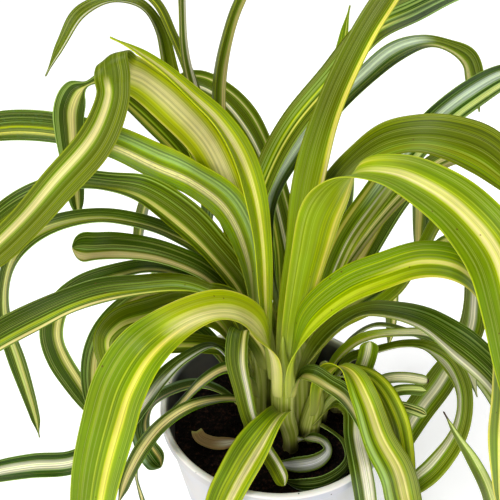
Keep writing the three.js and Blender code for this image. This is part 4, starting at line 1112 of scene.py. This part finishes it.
def soil():
    dice = random.Random(SEED)
    top = SOIL_TOP - SOIL_RELIEF
    bottom_radius = wall_radius(FLOOR + SOIL_CLEARANCE) - WALL - SOIL_CLEARANCE
    top_radius = wall_radius(top) - WALL - SOIL_CLEARANCE
    start()
    bpy.ops.mesh.primitive_grid_add(x_subdivisions=SOIL_INSETS + 2, y_subdivisions=SOIL_SPOKES, size=2)
    bed = bpy.context.object
    flat = (mesh_points(bed) + 1) / 2
    ring = np.rint(flat[:, 0] * (SOIL_INSETS + 2)).astype(int)
    angle = 2 * math.pi * np.rint(flat[:, 1] * SOIL_SPOKES) / SOIL_SPOKES
    radius = np.where(ring == 0, 0, np.where(ring == 1, bottom_radius,
                      top_radius * (SOIL_INSETS + 2 - ring) / SOIL_INSETS))
    height = np.where(ring < 2, FLOOR + SOIL_CLEARANCE, top)
    points = np.stack([radius * np.cos(angle), radius * np.sin(angle), height], axis=1)
    for point, level in zip(points, ring):
        if level > 2:
            spot = Vector(point)
            lump = noise.noise(spot / 7) * 1.1 + noise.noise(spot / 2.2) * 0.8
            point[2] = min(top + 0.4 + lump, SOIL_TOP)
    set_points(bed, points * MM)
    close_seams(SEAM)

    crumbs = []
    start()
    bpy.ops.mesh.primitive_ico_sphere_add(subdivisions=1, radius=1 * MM, location=(0, 0, 0))
    pattern = bpy.context.object
    for _ in range(CRUMBS):
        x, y = scatter_on_soil(dice)
        crumb = pattern.copy()
        crumb.data = pattern.data.copy()
        bpy.context.collection.objects.link(crumb)
        size = dice.triangular(0.5, 1.9, 0.8)
        shape = mesh_points(crumb) * np.array([dice.uniform(0.6, 1.2) for _ in range(3)]) * size
        crumb.rotation_euler = Vector([dice.uniform(0, 6.3) for _ in range(3)])
        set_points(crumb, shape)
        crumb.location = (x * MM, y * MM, (top + 0.3 * size) * MM)
        crumbs.append(crumb)
    bpy.data.objects.remove(pattern)
    crumb_set = join(crumbs)
    start()
    crumb_set.select_set(True)
    bpy.context.view_layer.objects.active = crumb_set
    bpy.ops.object.transform_apply(location=True, rotation=True, scale=True)
    whole = join([bed, crumb_set])
    bpy.ops.object.shade_flat()
    settle(whole, "potting_soil", "soil", soil_material())


# Stage


def studio():
    start()
    bpy.ops.mesh.primitive_plane_add(size=12, location=(0, 0, 0))
    floor = bpy.context.object
    floor.name = "floor"
    material, _, shader = new_material("white floor")
    shader.inputs["Base Color"].default_value = (0.95, 0.95, 0.95, 1)
    shader.inputs["Emission Color"].default_value = (1, 1, 1, 1)
    shader.inputs["Emission Strength"].default_value = 0.3
    shader.inputs["Roughness"].default_value = 0.9
    floor.data.materials.append(material)

    plant_middle = Vector((0, 0, 0.2))
    for name, kind, place, power, size in LAMPS:
        bpy.ops.object.light_add(type=kind, location=place)
        lamp = bpy.context.object
        lamp.name = name
        lamp.data.energy = power
        if kind == "SUN":
            lamp.data.angle = math.radians(size)
        else:
            lamp.data.size = size
        lamp.rotation_euler = (plant_middle - Vector(place)).to_track_quat("-Z", "Y").to_euler()

    world = bpy.data.worlds.new("studio")
    bpy.context.scene.world = world
    world.use_nodes = True
    world.node_tree.nodes["Background"].inputs["Color"].default_value = (1, 1, 1, 1)
    world.node_tree.nodes["Background"].inputs["Strength"].default_value = SKY

    bpy.ops.object.camera_add(location=CAMERA_PLACE, rotation=(math.radians(CAMERA_TILT), 0, 0))
    camera = bpy.context.object
    camera.data.lens = LENS
    camera.data.sensor_width = SENSOR
    camera.data.clip_start = 0.01
    bpy.context.scene.camera = camera
    bpy.context.scene.view_settings.view_transform = "Standard"


pot()
soil()
stems()
for number, name in enumerate(LEAVES):
    leaf(name, number)
studio()
